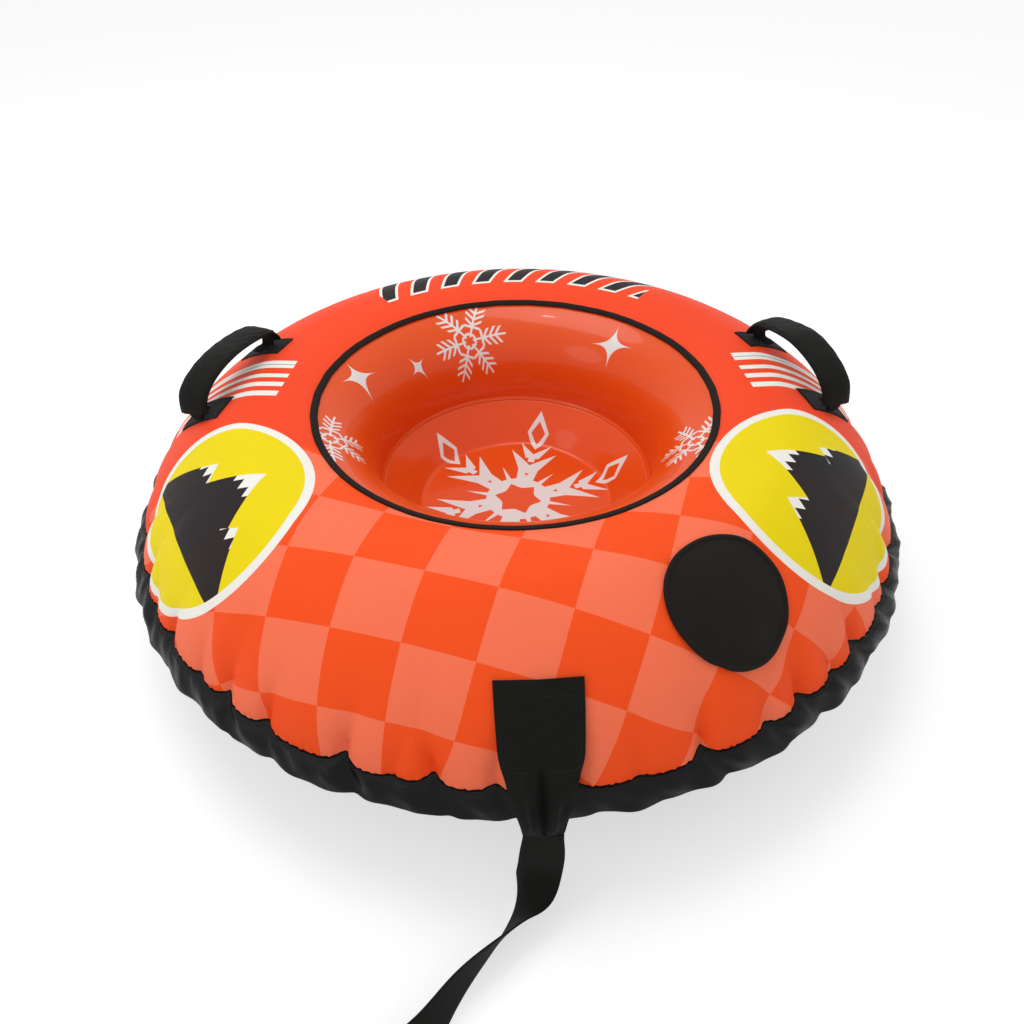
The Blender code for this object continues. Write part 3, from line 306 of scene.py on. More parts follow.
# %% [markdown]
# ## The ring's section
#
# Every cloth on the ring follows one curve from the opening over the crown to the rim. Its inner
# part is a superellipse, which gives the full, round inside of an inflated ring, and its outer
# part falls in a rounder curve to the seam. Places on it are named by their length along the
# cloth from the crown, because that is how a printer lays a pattern out: nothing stretches.

# %% Curves of the section
CROWN_RADIUS, TUBE_HEIGHT = 0.335, 0.285
RIM_RADIUS, RIM_HEIGHT = 0.481, 0.150
OPENING_RADIUS, SEAT_RADIUS = 0.250, 0.183
SEAT_FLAT_RADIUS, SEAT_FLOOR_HEIGHT = 0.133, 0.101
BASE_FLAT_RADIUS = 0.330
CLOTH = 0.0011


def curve_table(radius, height):
    """Length along a curve, radius, height and the unit normal to the left of the way along it."""
    step = np.hypot(np.diff(radius), np.diff(height))
    length = np.concatenate([[0.0], np.cumsum(step)])
    along = np.stack([np.gradient(radius, length), np.gradient(height, length)])
    along /= np.hypot(*along)
    return length, radius, height, -along[1], along[0]


WALL_POWER, SHOULDER_POWER, DROP_POWER = 2 / 2.6, 1.4, 1.1
quarter = np.linspace(0.0, math.pi / 2, 1500)
wall_radius = CROWN_RADIUS - (CROWN_RADIUS - SEAT_RADIUS) * np.cos(quarter) ** WALL_POWER
wall_height = RIM_HEIGHT + (TUBE_HEIGHT - CLOTH - RIM_HEIGHT) * np.sin(quarter) ** WALL_POWER
shoulder_radius = CROWN_RADIUS + (RIM_RADIUS - CROWN_RADIUS) * np.sin(quarter) ** SHOULDER_POWER
shoulder_height = RIM_HEIGHT + (TUBE_HEIGHT - RIM_HEIGHT) * np.cos(quarter) ** DROP_POWER

WALL = curve_table(wall_radius, wall_height)
over_edge = wall_radius >= OPENING_RADIUS
inner_part = np.stack([wall_radius[over_edge], wall_height[over_edge] + CLOTH])
outer_part = np.stack([shoulder_radius[1:], shoulder_height[1:]])
COVER = curve_table(*np.concatenate([inner_part, outer_part], axis=1))
crown_at = float(np.interp(CROWN_RADIUS, COVER[1], COVER[0]))
COVER = (COVER[0] - crown_at, *COVER[1:])
COVER_START, COVER_END = float(COVER[0][0]), float(COVER[0][-1])
print("cloth: opening to crown", round(-COVER_START, 3), "m, crown to rim", round(COVER_END, 3), "m")


def on_section(table, length):
    """Radius, height and normal at lengths along a section curve."""
    return [np.interp(length, table[0], values) for values in table[1:]]


def length_at(radius):
    """The length from the crown at which the cover has this radius."""
    return np.interp(radius, COVER[1], COVER[0])


# %% [markdown]
# ## Surfaces from grids
#
# Every cloth, tape and strap here is a grid of points worked out as one array: rows along the
# piece, columns across or around it. One function turns such a grid into a mesh, joins its edges
# where it closes on itself, and puts caps on the ends of a tube. A flat layout in metres becomes
# the piece's UV map, so that weave and print follow the cloth instead of the room.

# %% Points round the axis, and their flat maps
def round_axis(radius, angle, height):
    """Points at a distance from the ring's axis, an angle round it, and a height."""
    return np.stack(np.broadcast_arrays(radius * np.cos(angle), radius * np.sin(angle), height), -1)


def round_map(radius, angle):
    """Places on a flat map at a distance from its middle and an angle round it."""
    return round_axis(radius, angle, 0.0)[..., :2]


def spread(first, second):
    """A flat map from its two coordinates."""
    return np.stack(np.broadcast_arrays(first, second), -1)


def turns(count):
    """Angles once round for the columns of a grid, and one more for the seam of its flat map."""
    return np.linspace(0, 2 * math.pi, count, endpoint=False), np.linspace(0, 2 * math.pi, count + 1)


def squarer(wave, power):
    """A sine or cosine to a power below 1, with its sign kept: a circle made of two gets squarer."""
    return np.sign(wave) * np.abs(wave) ** power


def two_faces(upper, lower, flat):
    """A sheet's grid and map: the upper face, then back along the lower face."""
    return (np.concatenate([upper, lower[:, ::-1]], axis=1),
            np.concatenate([flat, flat[:, ::-1], flat[:, :1]], axis=1))


print("a quarter turn lies at", round_axis(1.0, math.pi / 2, 0.0).round(3))


# %% [markdown]
# ## From points to a piece
#
# Each piece gets its material and the body it rides on, and the CAD node that it stands for is
# hidden.

# %% A grid of points becomes a piece
SHARP_ANGLE = math.radians(62)


def outward_mesh(name, points, faces, flat=None):
    """A mesh whose faces all look outwards, with a flat map in metres where one is given."""
    mesh = bpy.data.meshes.new(name)
    mesh.from_pydata(points.tolist(), [], faces)
    if flat is not None:
        mesh.uv_layers.new(name="flat").data.foreach_set("uv", flat.astype(np.float32).ravel())
    work = bmesh.new()
    work.from_mesh(mesh)
    bmesh.ops.recalc_face_normals(work, faces=work.faces[:])
    work.to_mesh(mesh)
    work.free()
    mesh.shade_smooth()
    return mesh


def piece(name, mesh, finish, body="tube", node=None):
    """A mesh becomes an object that rides on a body and, where a node is given, stands for it."""
    mesh.materials.append(finish.material)
    made = linked(name, mesh)
    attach(made, body)
    if node:
        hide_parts(node)
    return made


def surface(name, node, grid, layout, finish, slot, body="tube", closed=False):
    """The piece that stands for a node, from rows by columns of points. The last column joins the
    first. Closed, the last row joins the first too, and otherwise a middle point caps both end rows.
    The layout has one more column, and closed one more row, so that the map runs on to the seam."""
    rows, columns = grid.shape[:2]
    i, j = np.meshgrid(np.arange(rows if closed else rows - 1), np.arange(columns), indexing="ij")
    spots = [(i, j), (i, j + 1), (i + 1, j + 1), (i + 1, j)]
    faces = np.stack([(a % rows) * columns + b % columns for a, b in spots], -1).reshape(-1, 4)
    points, quads = grid.reshape(-1, 3), faces.tolist()
    flat = np.stack([layout[a, b] for a, b in spots], -2).reshape(-1, 2)
    if not closed:
        j, last = np.arange(columns), (rows - 1) * columns
        for place, (row, first) in enumerate(((0, 0), (-1, last))):
            middle = np.full(columns, len(points) + place)
            quads += np.stack([first + j, first + (j + 1) % columns, middle], -1).tolist()
            edge = layout[row]
            flat = np.concatenate([flat] + [[edge[k], edge[(k + 1) % len(edge)], edge.mean(0)] for k in j])
        points = np.concatenate([points, [grid[0].mean(0), grid[-1].mean(0)]])
    mesh = outward_mesh(name, points, quads, flat)
    mesh.set_sharp_from_angle(angle=SHARP_ANGLE)
    return piece(name, mesh, finish, body, node)


def unit(vectors):
    return vectors / np.linalg.norm(vectors, axis=-1, keepdims=True)


def left_of(path):
    """The unit normal to the left of the way along a line in a section."""
    way = unit(np.gradient(path, axis=0))
    return np.stack([-way[:, 1], way[:, 0]], 1)


def lengths_along(path):
    """Length from the first point of a path to each of its points."""
    return np.concatenate([[0.0], np.cumsum(np.linalg.norm(np.diff(path, axis=0), axis=1))])


def read_off(at, length, rows):
    """A table's rows, given at some lengths, read off at others."""
    return np.stack([np.interp(at, length, column) for column in rows.T], 1)


STRAP_COUNT, STRAP_POWER = 20, 2 / 6.0
STRAP_TURN = np.arange(STRAP_COUNT + 1) * 2 * math.pi / STRAP_COUNT + math.pi / STRAP_COUNT


def strap_rings(path, wide, width, thickness):
    """A strap's grid: at each point of the path a flattened ring, a superellipse with tight corners.
    The width may be one number or one for each point."""
    way = unit(np.gradient(path, axis=0))
    wide = unit(wide - way * np.sum(wide * way, axis=1, keepdims=True))
    thick = np.cross(way, wide)
    x, y = squarer(np.cos(STRAP_TURN[:-1]), STRAP_POWER), squarer(np.sin(STRAP_TURN[:-1]), STRAP_POWER)
    half_width = np.broadcast_to(width, len(path))[:, None, None] / 2
    return (path[:, None] + wide[:, None] * x[None, :, None] * half_width
            + thick[:, None] * y[None, :, None] * thickness / 2)


def strap_layout(path, width):
    """The strap's flat map: across its width one way, along its length the other."""
    return spread(np.cos(STRAP_TURN) * width / 2, lengths_along(path)[:, None])


def smooth_path(points, count):
    """Points read off a smooth curve through a route's own points (Catmull-Rom), spaced alike."""
    points = np.asarray(points, float)
    ends = np.vstack([2 * points[0] - points[1], points, 2 * points[-1] - points[-2]])
    share = np.linspace(0.0, 1.0, 12, endpoint=False)[None, :, None]
    a, b, c, d = (ends[k:len(ends) - 3 + k, None] for k in range(4))
    dense = 0.5 * (2 * b + (c - a) * share + (2 * a - 5 * b + 4 * c - d) * share ** 2
                   + (3 * b - a - 3 * c + d) * share ** 3)
    dense = np.vstack([dense.reshape(-1, points.shape[1]), points[-1]])
    length = lengths_along(dense[:, :3])
    even = np.linspace(0.0, length[-1], count)
    return read_off(even, length, dense)


print("a strap ring has", strap_rings(np.eye(3), np.eye(3)[::-1], 0.045, 0.0024).shape[1], "points")

# %% [markdown]
# ## Black cloths
#
# The black pieces are of different cloths: ribbed webbing, smooth tape, binding, padded sleeve,
# patch, flap, fastener and the slick base. Each is a woven pattern at its own pitch, on the
# piece's flat map, with a little cloudy wear in its colour and roughness. Painted shade also
# darkens its colour in the hollows between the threads.

# %% Woven black finishes
BLACK = (17, 17, 15)


def woven(name, colour, roughness, pitch, raised, ribs=0.0, wear_and_thread_shade=0.35, sheen=0.0, **sockets):
    """Cloth on the flat map: threads cross over and under at a pitch, with ribs at their own pitch."""
    sockets.setdefault("Specular_IOR_Level", 0.10)
    finish = Finish(name, ink(*colour), roughness, Sheen_Weight=sheen, Sheen_Roughness=0.5, **sockets)
    vector, (u, v, _) = finish.coordinates("flat")
    turn = 2 * math.pi / pitch
    threads = (u * turn).wave() * (v * turn).wave() * 0.5 + 0.5
    height = threads
    if ribs:
        height = threads * 0.45 + (1.0 - (v.fold(ribs) / (ribs / 2)) ** 2.0) * 0.55
    cloud = finish.noise(vector, 35.0, 3.0)
    dark = tuple(c * (1 - wear_and_thread_shade) for c in ink(*colour))
    light = tuple(c * (1 + wear_and_thread_shade) + 0.002 for c in ink(*colour))
    # The colour mixes random cloudy wear with painted shade: darker in the hollows between threads and ribs,
    # lighter on their tops.
    finish.feed("Base Color", finish.mixed(dark, light, cloud * 0.6 + height * 0.4))
    finish.feed("Roughness", cloud * 0.12 + (roughness - 0.06))
    finish.relief(height, raised)
    return finish


webbing_finish = woven("ribbed_webbing", BLACK, 0.78, 0.0013, 0.00030, ribs=0.0021, sheen=0.02)
print("woven finishes:", [m.name for m in bpy.data.materials if m.use_nodes][1:])

# %% [markdown]
# ## The tow strap
#
# The strap is a free cord of flat webbing. It falls from the anchor, meets the ground on its edge,
# turns onto its flat side and ends in a sewn hand loop that the camera no longer sees. Its route is
# the one of the solid: places on the ground, with a tilt that turns the strap's width from level to
# upright and over.

# %% Strap route
STRAP_WIDTH, STRAP_WEBBING, GAP = 0.045, 0.0024, 0.0003
STRAP_START, SMOOTHING_PASSES = (0.0197, -0.5114, 0.1155), 90
STRAP_ROUTE = (
    (0.0188, -0.5165, 0.0900, 0), (0.0175, -0.5170, 0.0680, 5), (0.0155, -0.5180, 0.0500, 14),
    (0.0130, -0.5230, 0.0370, 28), (0.0080, -0.5320, 0.0290, 42), (0.0000, -0.5440, None, 54),
    (-0.0110, -0.5570, None, 66), (-0.0240, -0.5705, None, 76), (-0.0370, -0.5830, None, 84),
    (-0.0510, -0.5970, None, 92), (-0.0640, -0.6120, None, 100), (-0.0760, -0.6290, None, 106),
    (-0.0880, -0.6470, None, 116), (-0.1050, -0.6640, None, 130), (-0.1280, -0.6790, None, 148),
    (-0.1560, -0.6900, None, 164), (-0.1900, -0.6970, None, 176), (-0.2300, -0.7000, None, 180),
    (-0.2800, -0.7010, None, 180), (-0.3300, -0.7000, None, 180), (-0.3700, -0.6985, None, 180))


def strap_place(x, y, height, tilt):
    """A route place with its tilt in radians. Without a height the strap's lower edge meets the ground."""
    turn = math.radians(tilt)
    if height is None:
        height = STRAP_WIDTH / 2 * math.sin(turn) + STRAP_WEBBING / 2 * abs(math.cos(turn)) + 4 * GAP
    return x, y, height, turn


route = smooth_path([(*STRAP_START, 0.0)] + [strap_place(*spot) for spot in STRAP_ROUTE], 260)
for _ in range(SMOOTHING_PASSES):
    route[1:-1] = 0.5 * route[1:-1] + 0.25 * (route[:-2] + route[2:])
strap_path, strap_tilt = route[:, :3], route[:, 3:]
strap_way = unit(np.gradient(strap_path, axis=0))
heading = unit(np.stack([strap_way[:, 0], strap_way[:, 1] - np.abs(strap_way[:, 2]), 0 * strap_way[:, 0]], 1))
level = np.stack([-heading[:, 1], heading[:, 0], 0 * heading[:, 0]], 1)
strap_wide = np.cos(strap_tilt) * level + np.sin(strap_tilt) * np.array([0.0, 0.0, 1.0])
drawn_in = STRAP_WIDTH * (1 - 0.12 * np.exp(-(lengths_along(strap_path) / 0.020) ** 2))
tow_strap = surface("tow_strap_webbing", "tow_strap",
                    strap_rings(strap_path, strap_wide, drawn_in, STRAP_WEBBING),
                    strap_layout(strap_path, STRAP_WIDTH), webbing_finish, "black_webbing")

# %% [markdown]
# ## Gathers round the rim
#
# A flat circle of cloth is too wide for the round side of an inflated ring. The seam draws it
# together, so between one stitch pull and the next the cloth bulges, and from each pull a crease
# runs up the side and fades. The front's pulls stand where the photograph has them; the others
# follow at like distances. Each is a narrow dip that gets wider and shallower up the cloth.

# %% Pulls and the cloth's place
PULLS = np.array([
    (-143.5, 11), (-135.0, 7), (-129.5, 13), (-122.5, 12), (-111.3, 15), (-105.0, 5), (-100.2, 15),
    (-93.0, 9), (-84.0, 8), (-76.5, 4), (-68.4, 15), (-59.3, 8), (-53.2, 14), (-46.8, 8),
    (-40.8, 13), (-32.6, 6), (-28.2, 9), (-20.5, 12), (-11.0, 14),
    (-3.5, 7), (4.5, 12), (12.2, 9), (21.5, 14), (29.0, 8), (38.0, 13), (45.0, 6),
    (53.5, 14), (61.0, 9), (70.5, 12), (79.0, 8), (86.0, 14), (95.5, 11), (103.0, 7), (112.0, 14), (119.5, 9),
    (129.0, 13), (136.0, 7), (146.5, 14), (154.0, 8), (163.0, 13), (171.5, 9), (180.0, 13), (187.0, 7),
    (195.5, 14), (204.0, 10), (210.0, 6)])
PULL_ANGLES = np.radians(PULLS[:, 0])
PULL_DEPTHS = PULLS[:, 1] / 1000
BULGE, BULGE_REACH = 0.0085, 0.105
PULL_WIDTH, PULL_SPREAD = 0.0085, 0.16
rng = np.random.default_rng(11)
PULL_REACH = 0.034 + 0.030 * rng.random(len(PULLS))
PULL_SLANT = 0.25 * (rng.random(len(PULLS)) - 0.5)
CREASE_SLANT = 0.7 * (rng.random(len(PULLS)) - 0.5)
CREASE_DEPTH, CREASE_WIDTH = 0.0046, 0.0045
PUCKER, PUCKER_REACH = 0.0007, 0.012


def pull(angle, away):
    """How far the pulls dip the cloth at an angle and a distance from the seam: for each pull a dip
    of 1 / (1 + x squared), x being the distance aside from its slanting crease in crease widths."""
    dip = 0.0
    for turn, depth, reach, slant, lean in zip(PULL_ANGLES, PULL_DEPTHS, PULL_REACH, PULL_SLANT,
                                               CREASE_SLANT):
        round_rim = (np.mod(angle - turn + math.pi, 2 * math.pi) - math.pi) * RIM_RADIUS
        aside = round_rim - slant * away
        wide = PULL_WIDTH + PULL_SPREAD * away
        dip = dip + depth * np.exp(-(away / reach) ** 1.3) / (1 + (aside / wide) ** 2)
        aside = round_rim - lean * away
        fades = np.exp(-(away / (1.5 * reach)) ** 2) * (1 - np.exp(-(away / 0.010) ** 2))
        dip = dip + CREASE_DEPTH * depth / 0.012 * fades / (1 + (aside / (CREASE_WIDTH + 0.06 * away)) ** 2)
    return dip


def gathered_aside(angle, away):
    """How far the flat cloth is drawn aside, in metres: each pull takes in cloth from both sides."""
    shift = 0.0
    for turn, depth, reach, slant in zip(PULL_ANGLES, PULL_DEPTHS, PULL_REACH, PULL_SLANT):
        aside = (np.mod(angle - turn + math.pi, 2 * math.pi) - math.pi) * RIM_RADIUS - slant * away
        aside = aside / (0.009 + 0.12 * away)
        shift = shift + 1.25 * depth * np.exp(-(away / (1.2 * reach)) ** 1.5) * aside / (1 + aside ** 2)
    return shift


def bulge(away):
    return BULGE * np.clip(1 - away / BULGE_REACH, 0, 1) ** 2


def pucker(angle, away):
    """Small stitch puckers close to the seam."""
    return PUCKER * np.exp(-away / PUCKER_REACH) * (np.sin(311 * angle + 2 * np.sin(17 * angle))
                                             + 0.7 * np.sin(463 * angle + 3 * np.sin(9 * angle)))


def place_on(table, length, angle, lift, end, gathered):
    """Points on a section turned about the axis, gathered by their distance from the seam at its end."""
    radius, height, out, up = on_section(table, length)
    away = np.abs(end - length)
    swell = gathered * (bulge(away) - pull(angle, away) + pucker(angle, away)) + lift
    sunk = 0.35 * gathered * (pull(angle, away) - bulge(away)) * np.exp(-away / 0.02)
    return round_axis(radius + out * swell, angle, height + up * swell + sunk)


def on_cover(length, angle, lift=0.0):
    """The cover's outer face at a length from the crown and an angle, raised square to the section."""
    length, angle = np.broadcast_arrays(np.asarray(length, float), np.asarray(angle, float))
    return place_on(COVER, length, angle, lift, COVER_END, 1.0)


seam_ring = on_cover(COVER_END, np.radians(np.arange(0, 360, 0.5)))
print("seam radius from", np.hypot(*seam_ring[:, :2].T).min().round(4), "to",
      np.hypot(*seam_ring[:, :2].T).max().round(4), "m")

# %% [markdown]
# ## The print on the cover
#
# The cover is printed flat, before it is sewn. Its map is therefore a flat picture of the cloth in
# metres, with the ring's axis at the middle. Squares, discs, peaks, stripes and bars are all short
# sums on the two map coordinates, so every edge stays sharp however close one looks. The squares
# lie on a slanted grid over the front, and the rest of the cloth is plain orange.

# %% Shapes of the print
def turned_axes(x, y, centre, up):
    """Coordinates across and along a direction, from a centre on the map."""
    length = math.hypot(*up)
    ux, uy = up[0] / length, up[1] / length
    dx, dy = x - centre[0], y - centre[1]
    return dx * uy - dy * ux, dx * ux + dy * uy


def squares(x, y, corner, side, across, down):
    """1 on every other square of a slanted grid: whole steps along both sides, added, are odd."""
    ix, iy = across
    jx, jy = down
    dx, dy = x - corner[0], y - corner[1]
    area = side * side
    steps = (((dx * ix + dy * iy) / area).cell() + ((dx * jx + dy * jy) / area).cell()) * 0.5
    return (steps - steps.cell()) * 2.0


def peaks(across, up, tops):
    """A row of mountains and their snow: each falls away evenly from its top, the snow's edge zigzags."""
    rock, snow = None, None
    for place, top, slope, cap in tops:
        aside = (across - place).size()
        inside = (aside * -slope + top - up).past(0.0) * up.past(-0.052)
        ragged = (across - place).fold(0.016) * 1.5
        white = inside * (up - ragged).past(top - cap)
        rock = inside if rock is None else rock.most(inside)
        snow = white if snow is None else snow.most(white)
    return rock, snow


# %% [markdown]
# ## The print
#
# The front is a check of two oranges, with two yellow discs of mountains, and white stripes on
# both sides. Slanted black bars with pale edges run round the back. Lengths are metres on the flat
# cloth, whose middle is the ring's axis.

# %% Print colours and places
ORANGE_RED, SQUARE_ORANGE, SALMON = ink(247, 74, 36), ink(250, 82, 27), ink(252, 118, 83)
YELLOW, INK_WHITE = ink(240, 217, 10), ink(243, 240, 232)
INK_BLACK, INK_GREY = ink(33, 31, 32), ink(150, 146, 150)
PRINT_THREAD, SQUARE_SIDE, SQUARE_CORNER = 0.0011, 0.0763, (-0.1426, -0.2291)
SQUARE_TURN = math.radians(-17.35)
DISCS = (((-0.355, -0.195), 0.131), ((0.350, -0.186), 0.134))
DISC_EDGE = 0.011
PEAK_TOPS = ((-0.050, 0.036, 1.15, 0.024), (0.012, 0.078, 1.45, 0.036), (0.066, 0.024, 1.1, 0.020))
STRIPES = (0.060, 0.078, 0.037, 0.046, 0.016, 0.026, -0.006, 0.005)
STRIPE_ENDS = (0.298, 0.470)
BAR_PITCH, BAR_WIDTH, BAR_EDGE, BAR_RISE, BAR_REACH = 0.058, 0.034, 0.005, (0.304, 0.405), 0.235

cover_print = Finish("printed_cover_cloth", ORANGE_RED, 0.55, Specular_IOR_Level=0.10)
vector, (x, y, _) = cover_print.coordinates("flat")
side_along = (SQUARE_SIDE * math.cos(SQUARE_TURN), SQUARE_SIDE * math.sin(SQUARE_TURN))
side_down = (side_along[1], -side_along[0])
front = 1.0 - (y - x * 0.031).past(-0.1022)
chequered = squares(x, y, SQUARE_CORNER, SQUARE_SIDE, side_along, side_down)
checks = cover_print.mixed(SQUARE_ORANGE, SALMON, chequered)
shade = cover_print.mixed(ORANGE_RED, checks, front)

for centre, radius in DISCS:
    across, up = turned_axes(x, y, centre, (-centre[0], -centre[1]))
    away = (across * across + up * up).root()
    rock, snow = peaks(across, up, PEAK_TOPS)
    shade = cover_print.mixed(shade, INK_WHITE, 1.0 - away.past(radius))
    field = 1.0 - away.past(radius - DISC_EDGE)
    shade = cover_print.mixed(shade, YELLOW, field)
    shade = cover_print.mixed(shade, INK_BLACK, rock * field)
    shade = cover_print.mixed(shade, INK_WHITE, snow * field)

outward = x.size()
level_y = y - x.past(0.0, 0.01) * 0.004
inner_end = level_y * -0.143 + STRIPE_ENDS[0] + 0.004
long_enough = (outward - inner_end).past(0.0) * (1.0 - (outward - level_y * 0.3).past(STRIPE_ENDS[1]))
for low, high in zip(STRIPES[::2], STRIPES[1::2]):
    shade = cover_print.mixed(shade, INK_WHITE, level_y.between(low, high) * long_enough)
thin_line = level_y.between(0.0675, 0.0692) * long_enough
shade = cover_print.mixed(shade, INK_GREY, thin_line)

reach = (x * x + y * y).root()
round_the_back = x.sum("ARCTAN2", x, y) * 0.36
bar_at = (round_the_back - (reach - BAR_RISE[0]) * 0.55).fold(BAR_PITCH)
near_back = 1.0 - round_the_back.size().past(BAR_REACH)
in_back = near_back * reach.between(*BAR_RISE)
in_black = near_back * reach.between(BAR_RISE[0] + BAR_EDGE, BAR_RISE[1] - BAR_EDGE)
shade = cover_print.mixed(shade, INK_WHITE, in_back * (1.0 - bar_at.past(BAR_WIDTH / 2)))
shade = cover_print.mixed(shade, INK_BLACK, in_black * (1.0 - bar_at.past(BAR_WIDTH / 2 - BAR_EDGE)))

cloud = cover_print.noise(vector, 9.0, 3.0)
shade = cover_print.mixed(shade, (0.30, 0.02, 0.01), (cloud - 0.35).most(0.0) * 0.10)
cover_print.feed("Base Color", shade)
thread_turns = 2 * math.pi / PRINT_THREAD
threads = (x * thread_turns).wave() * (y * thread_turns).wave() * 0.5 + 0.5
crumple = cover_print.noise(vector, 60.0, 4.0)
cover_print.relief(threads * 0.25 + crumple * 0.75, 0.0006)
cover_print.feed("Roughness", cloud * 0.10 + 0.47)
print("print nodes:", len(cover_print.tree.nodes))

# %% [markdown]
# ## The printed cover
#
# The cover is one sheet, from the bound edge of the opening over the crown to the seam at the rim.
# Rows are close together near the opening and the seam, where it bends, and wide apart on top. The
# sheet gets its thickness from a second, plainer layer inside.

# %% Cover cloth
COVER_CLOTH = 0.0008
angles, flat_angles = turns(960)
cover_rows = np.concatenate([[COVER_START, COVER_START + 0.001],
                             np.linspace(COVER_START + 0.004, COVER_START + 0.048, 17)[:-1],
                             np.linspace(COVER_START + 0.048, COVER_END - 0.105, 17)[:-1],
                             np.linspace(COVER_END - 0.105, COVER_END - 0.020, 27)[:-1],
                             np.linspace(COVER_END - 0.020, COVER_END, 11)])
inner_rows = cover_rows[::-1][::6]
inner_rows[-1] = cover_rows[0]
cover_grid = np.concatenate([on_cover(cover_rows[:, None], angles),
                             on_cover(inner_rows[:, None], angles, -COVER_CLOTH)])
flat_rows = CROWN_RADIUS + np.concatenate([cover_rows, inner_rows, cover_rows[:1]])
drawn = gathered_aside(flat_angles[None, :], COVER_END - (flat_rows[:, None] - CROWN_RADIUS))
cover_layout = round_map(flat_rows[:, None], flat_angles + drawn / flat_rows[:, None])
cover = surface("printed_cover", "cover_top", cover_grid, cover_layout, cover_print, "printed_cloth",
                closed=True)
print("cover has", len(cover.data.polygons), "faces")

# %% [markdown]
# ## The rim band
#
# A wide black tape is folded over the seam. Its upper edge is sewn to the gathered cloth and jumps
# with every pull, but its folded lower edge hangs almost smooth, so the tape twists between them.

# %% Rim band
BAND_DROP, BAND_SPREAD, BAND_THICKNESS = 0.030, 0.018, 0.0030
BAND_HANG, BAND_FLARE, BAND_TWIST = 0.0235, 0.0145, 0.040


def band_place(share, angle, out):
    """A place on the band: from the seam ring at share 0 to the smooth lower ring at share 1, moved
    out square to the band's slope."""
    share, angle = np.broadcast_arrays(share, angle)
    down = np.clip(share, 0, 1)
    top, twisted = on_cover(COVER_END, angle), on_cover(COVER_END, angle - BAND_TWIST * down)
    top_radius, top_height = np.hypot(twisted[..., 0], twisted[..., 1]), top[..., 2]
    soft_pull = pull(angle - BAND_TWIST, 0.0) - BULGE
    low_radius = (RIM_RADIUS + BAND_FLARE + 0.004 - 0.30 * soft_pull
                  + 0.0016 * np.sin(31 * angle + 2 * np.sin(5 * angle)) + 0.0008 * np.sin(73 * angle))
    low_height = RIM_HEIGHT - BAND_HANG - 0.0012 * np.sin(23 * angle + 1.3) + 0.10 * soft_pull
    lean = angle - BAND_TWIST * down
    puff = 0.0026 * np.sin(math.pi * down) * (1 + 0.7 * np.sin(37 * lean) + 0.6 * np.sin(83 * lean + 2))
    radius = top_radius + (low_radius - top_radius) * squarer(share, 1.15)
    height = top_height + (low_height - top_height) * share
    slope = np.array([BAND_DROP, BAND_SPREAD]) / math.hypot(BAND_DROP, BAND_SPREAD)
    return round_axis(radius + slope[0] * (out + puff), angle, height + slope[1] * (out + puff))


def band_section():
    """Shares down the band and distances out from it: up the back, round the stitched top, down the
    front and round the fold at the bottom."""
    bottom = np.radians(np.linspace(-75, 75, 5))
    half = BAND_THICKNESS / 2
    fold = [(1.0 + 0.055 * math.cos(t), half + half * math.sin(t)) for t in bottom]
    front = [(share, BAND_THICKNESS) for share in (0.93, 0.82, 0.70, 0.58, 0.46, 0.34, 0.22, 0.14)]
    top = [(0.09, BAND_THICKNESS * 0.62), (0.04, BAND_THICKNESS * 0.72),
           (-0.01, BAND_THICKNESS * 0.5), (-0.02, 0.0)]
    return np.array(fold + front + top + [(share, -0.0002) for share in (0.15, 0.5, 0.85)])


section = band_section()
angles, flat_angles = turns(900)
band_grid = band_place(section[:, :1], angles[None, :], section[:, 1:])
across = np.concatenate([section[:, 0], section[:1, 0]]) * BAND_DROP
band_layout = spread(across[:, None], flat_angles * RIM_RADIUS)
band_finish = woven("rim_band_tape", (8, 8, 8), 0.36, 0.0012, 0.00006, wear_and_thread_shade=0.25, Specular_IOR_Level=0.15)
surface("rim_band_tape", "rim_band", band_grid, band_layout, band_finish, "black_tape", closed=True)
print("band points", band_grid.shape[0] * band_grid.shape[1])

# %% [markdown]
# ## The base cloth
#
# Under the ring lies a slick, coated cloth that slides on snow. It is flat on the ground and drawn
# up the sides to the same seam, so it shares the cover's pulls.

# %% Base cloth
def base_curve(turn):
    """The underside's radius and height, from the flat part at turn 0 up to the rim."""
    return np.stack([BASE_FLAT_RADIUS + (RIM_RADIUS - BASE_FLAT_RADIUS) * np.sin(turn) ** SHOULDER_POWER,
                     RIM_HEIGHT * (1 - np.cos(turn) ** DROP_POWER)])


BASE = curve_table(*base_curve(quarter))
BASE = (BASE[0], BASE[1], BASE[2], -BASE[3], -BASE[4])
BASE_CLOTH, BASE_GATHERED = 0.0012, 0.09
base_end = float(BASE[0][-1])
base_rows = np.concatenate([np.linspace(0, base_end - BASE_GATHERED, 8)[:-1],
                            np.linspace(base_end - BASE_GATHERED, base_end, 28)])
angles, flat_angles = turns(600)
disc_radii = np.array([0.001, 0.12, 0.24])
under = place_on(BASE, base_rows[:, None], angles, 0.0, base_end, 1.0)
over = place_on(BASE, base_rows[::-3, None], angles, -BASE_CLOTH, base_end, 1.0)
over[-1, :, 2] = BASE_CLOTH
base_grid = np.concatenate([round_axis(disc_radii[:, None], angles, 0.0), under, over,
                            round_axis(disc_radii[::-1, None], angles, BASE_CLOTH)])
flat_radii = np.concatenate([disc_radii, BASE_FLAT_RADIUS + base_rows, BASE_FLAT_RADIUS + base_rows[::-3],
                             disc_radii[::-1]])
base_layout = round_map(flat_radii[:, None], flat_angles)
base_finish = woven("slick_base_cloth", (30, 30, 30), 0.45, 0.0014, 0.00012, wear_and_thread_shade=0.30)
slide_base = surface("slide_base_cloth", "slide_base", base_grid, base_layout, base_finish, "slide_cloth")
print("base cloth rises", round(base_end, 3), "m up the side")

# %% [markdown]
# ## The bound edge
#
# A narrow tape is folded over the cloth's inner edge and stitched through. It is a flat, rounded
# tube that follows the curve of the chamber's wall.

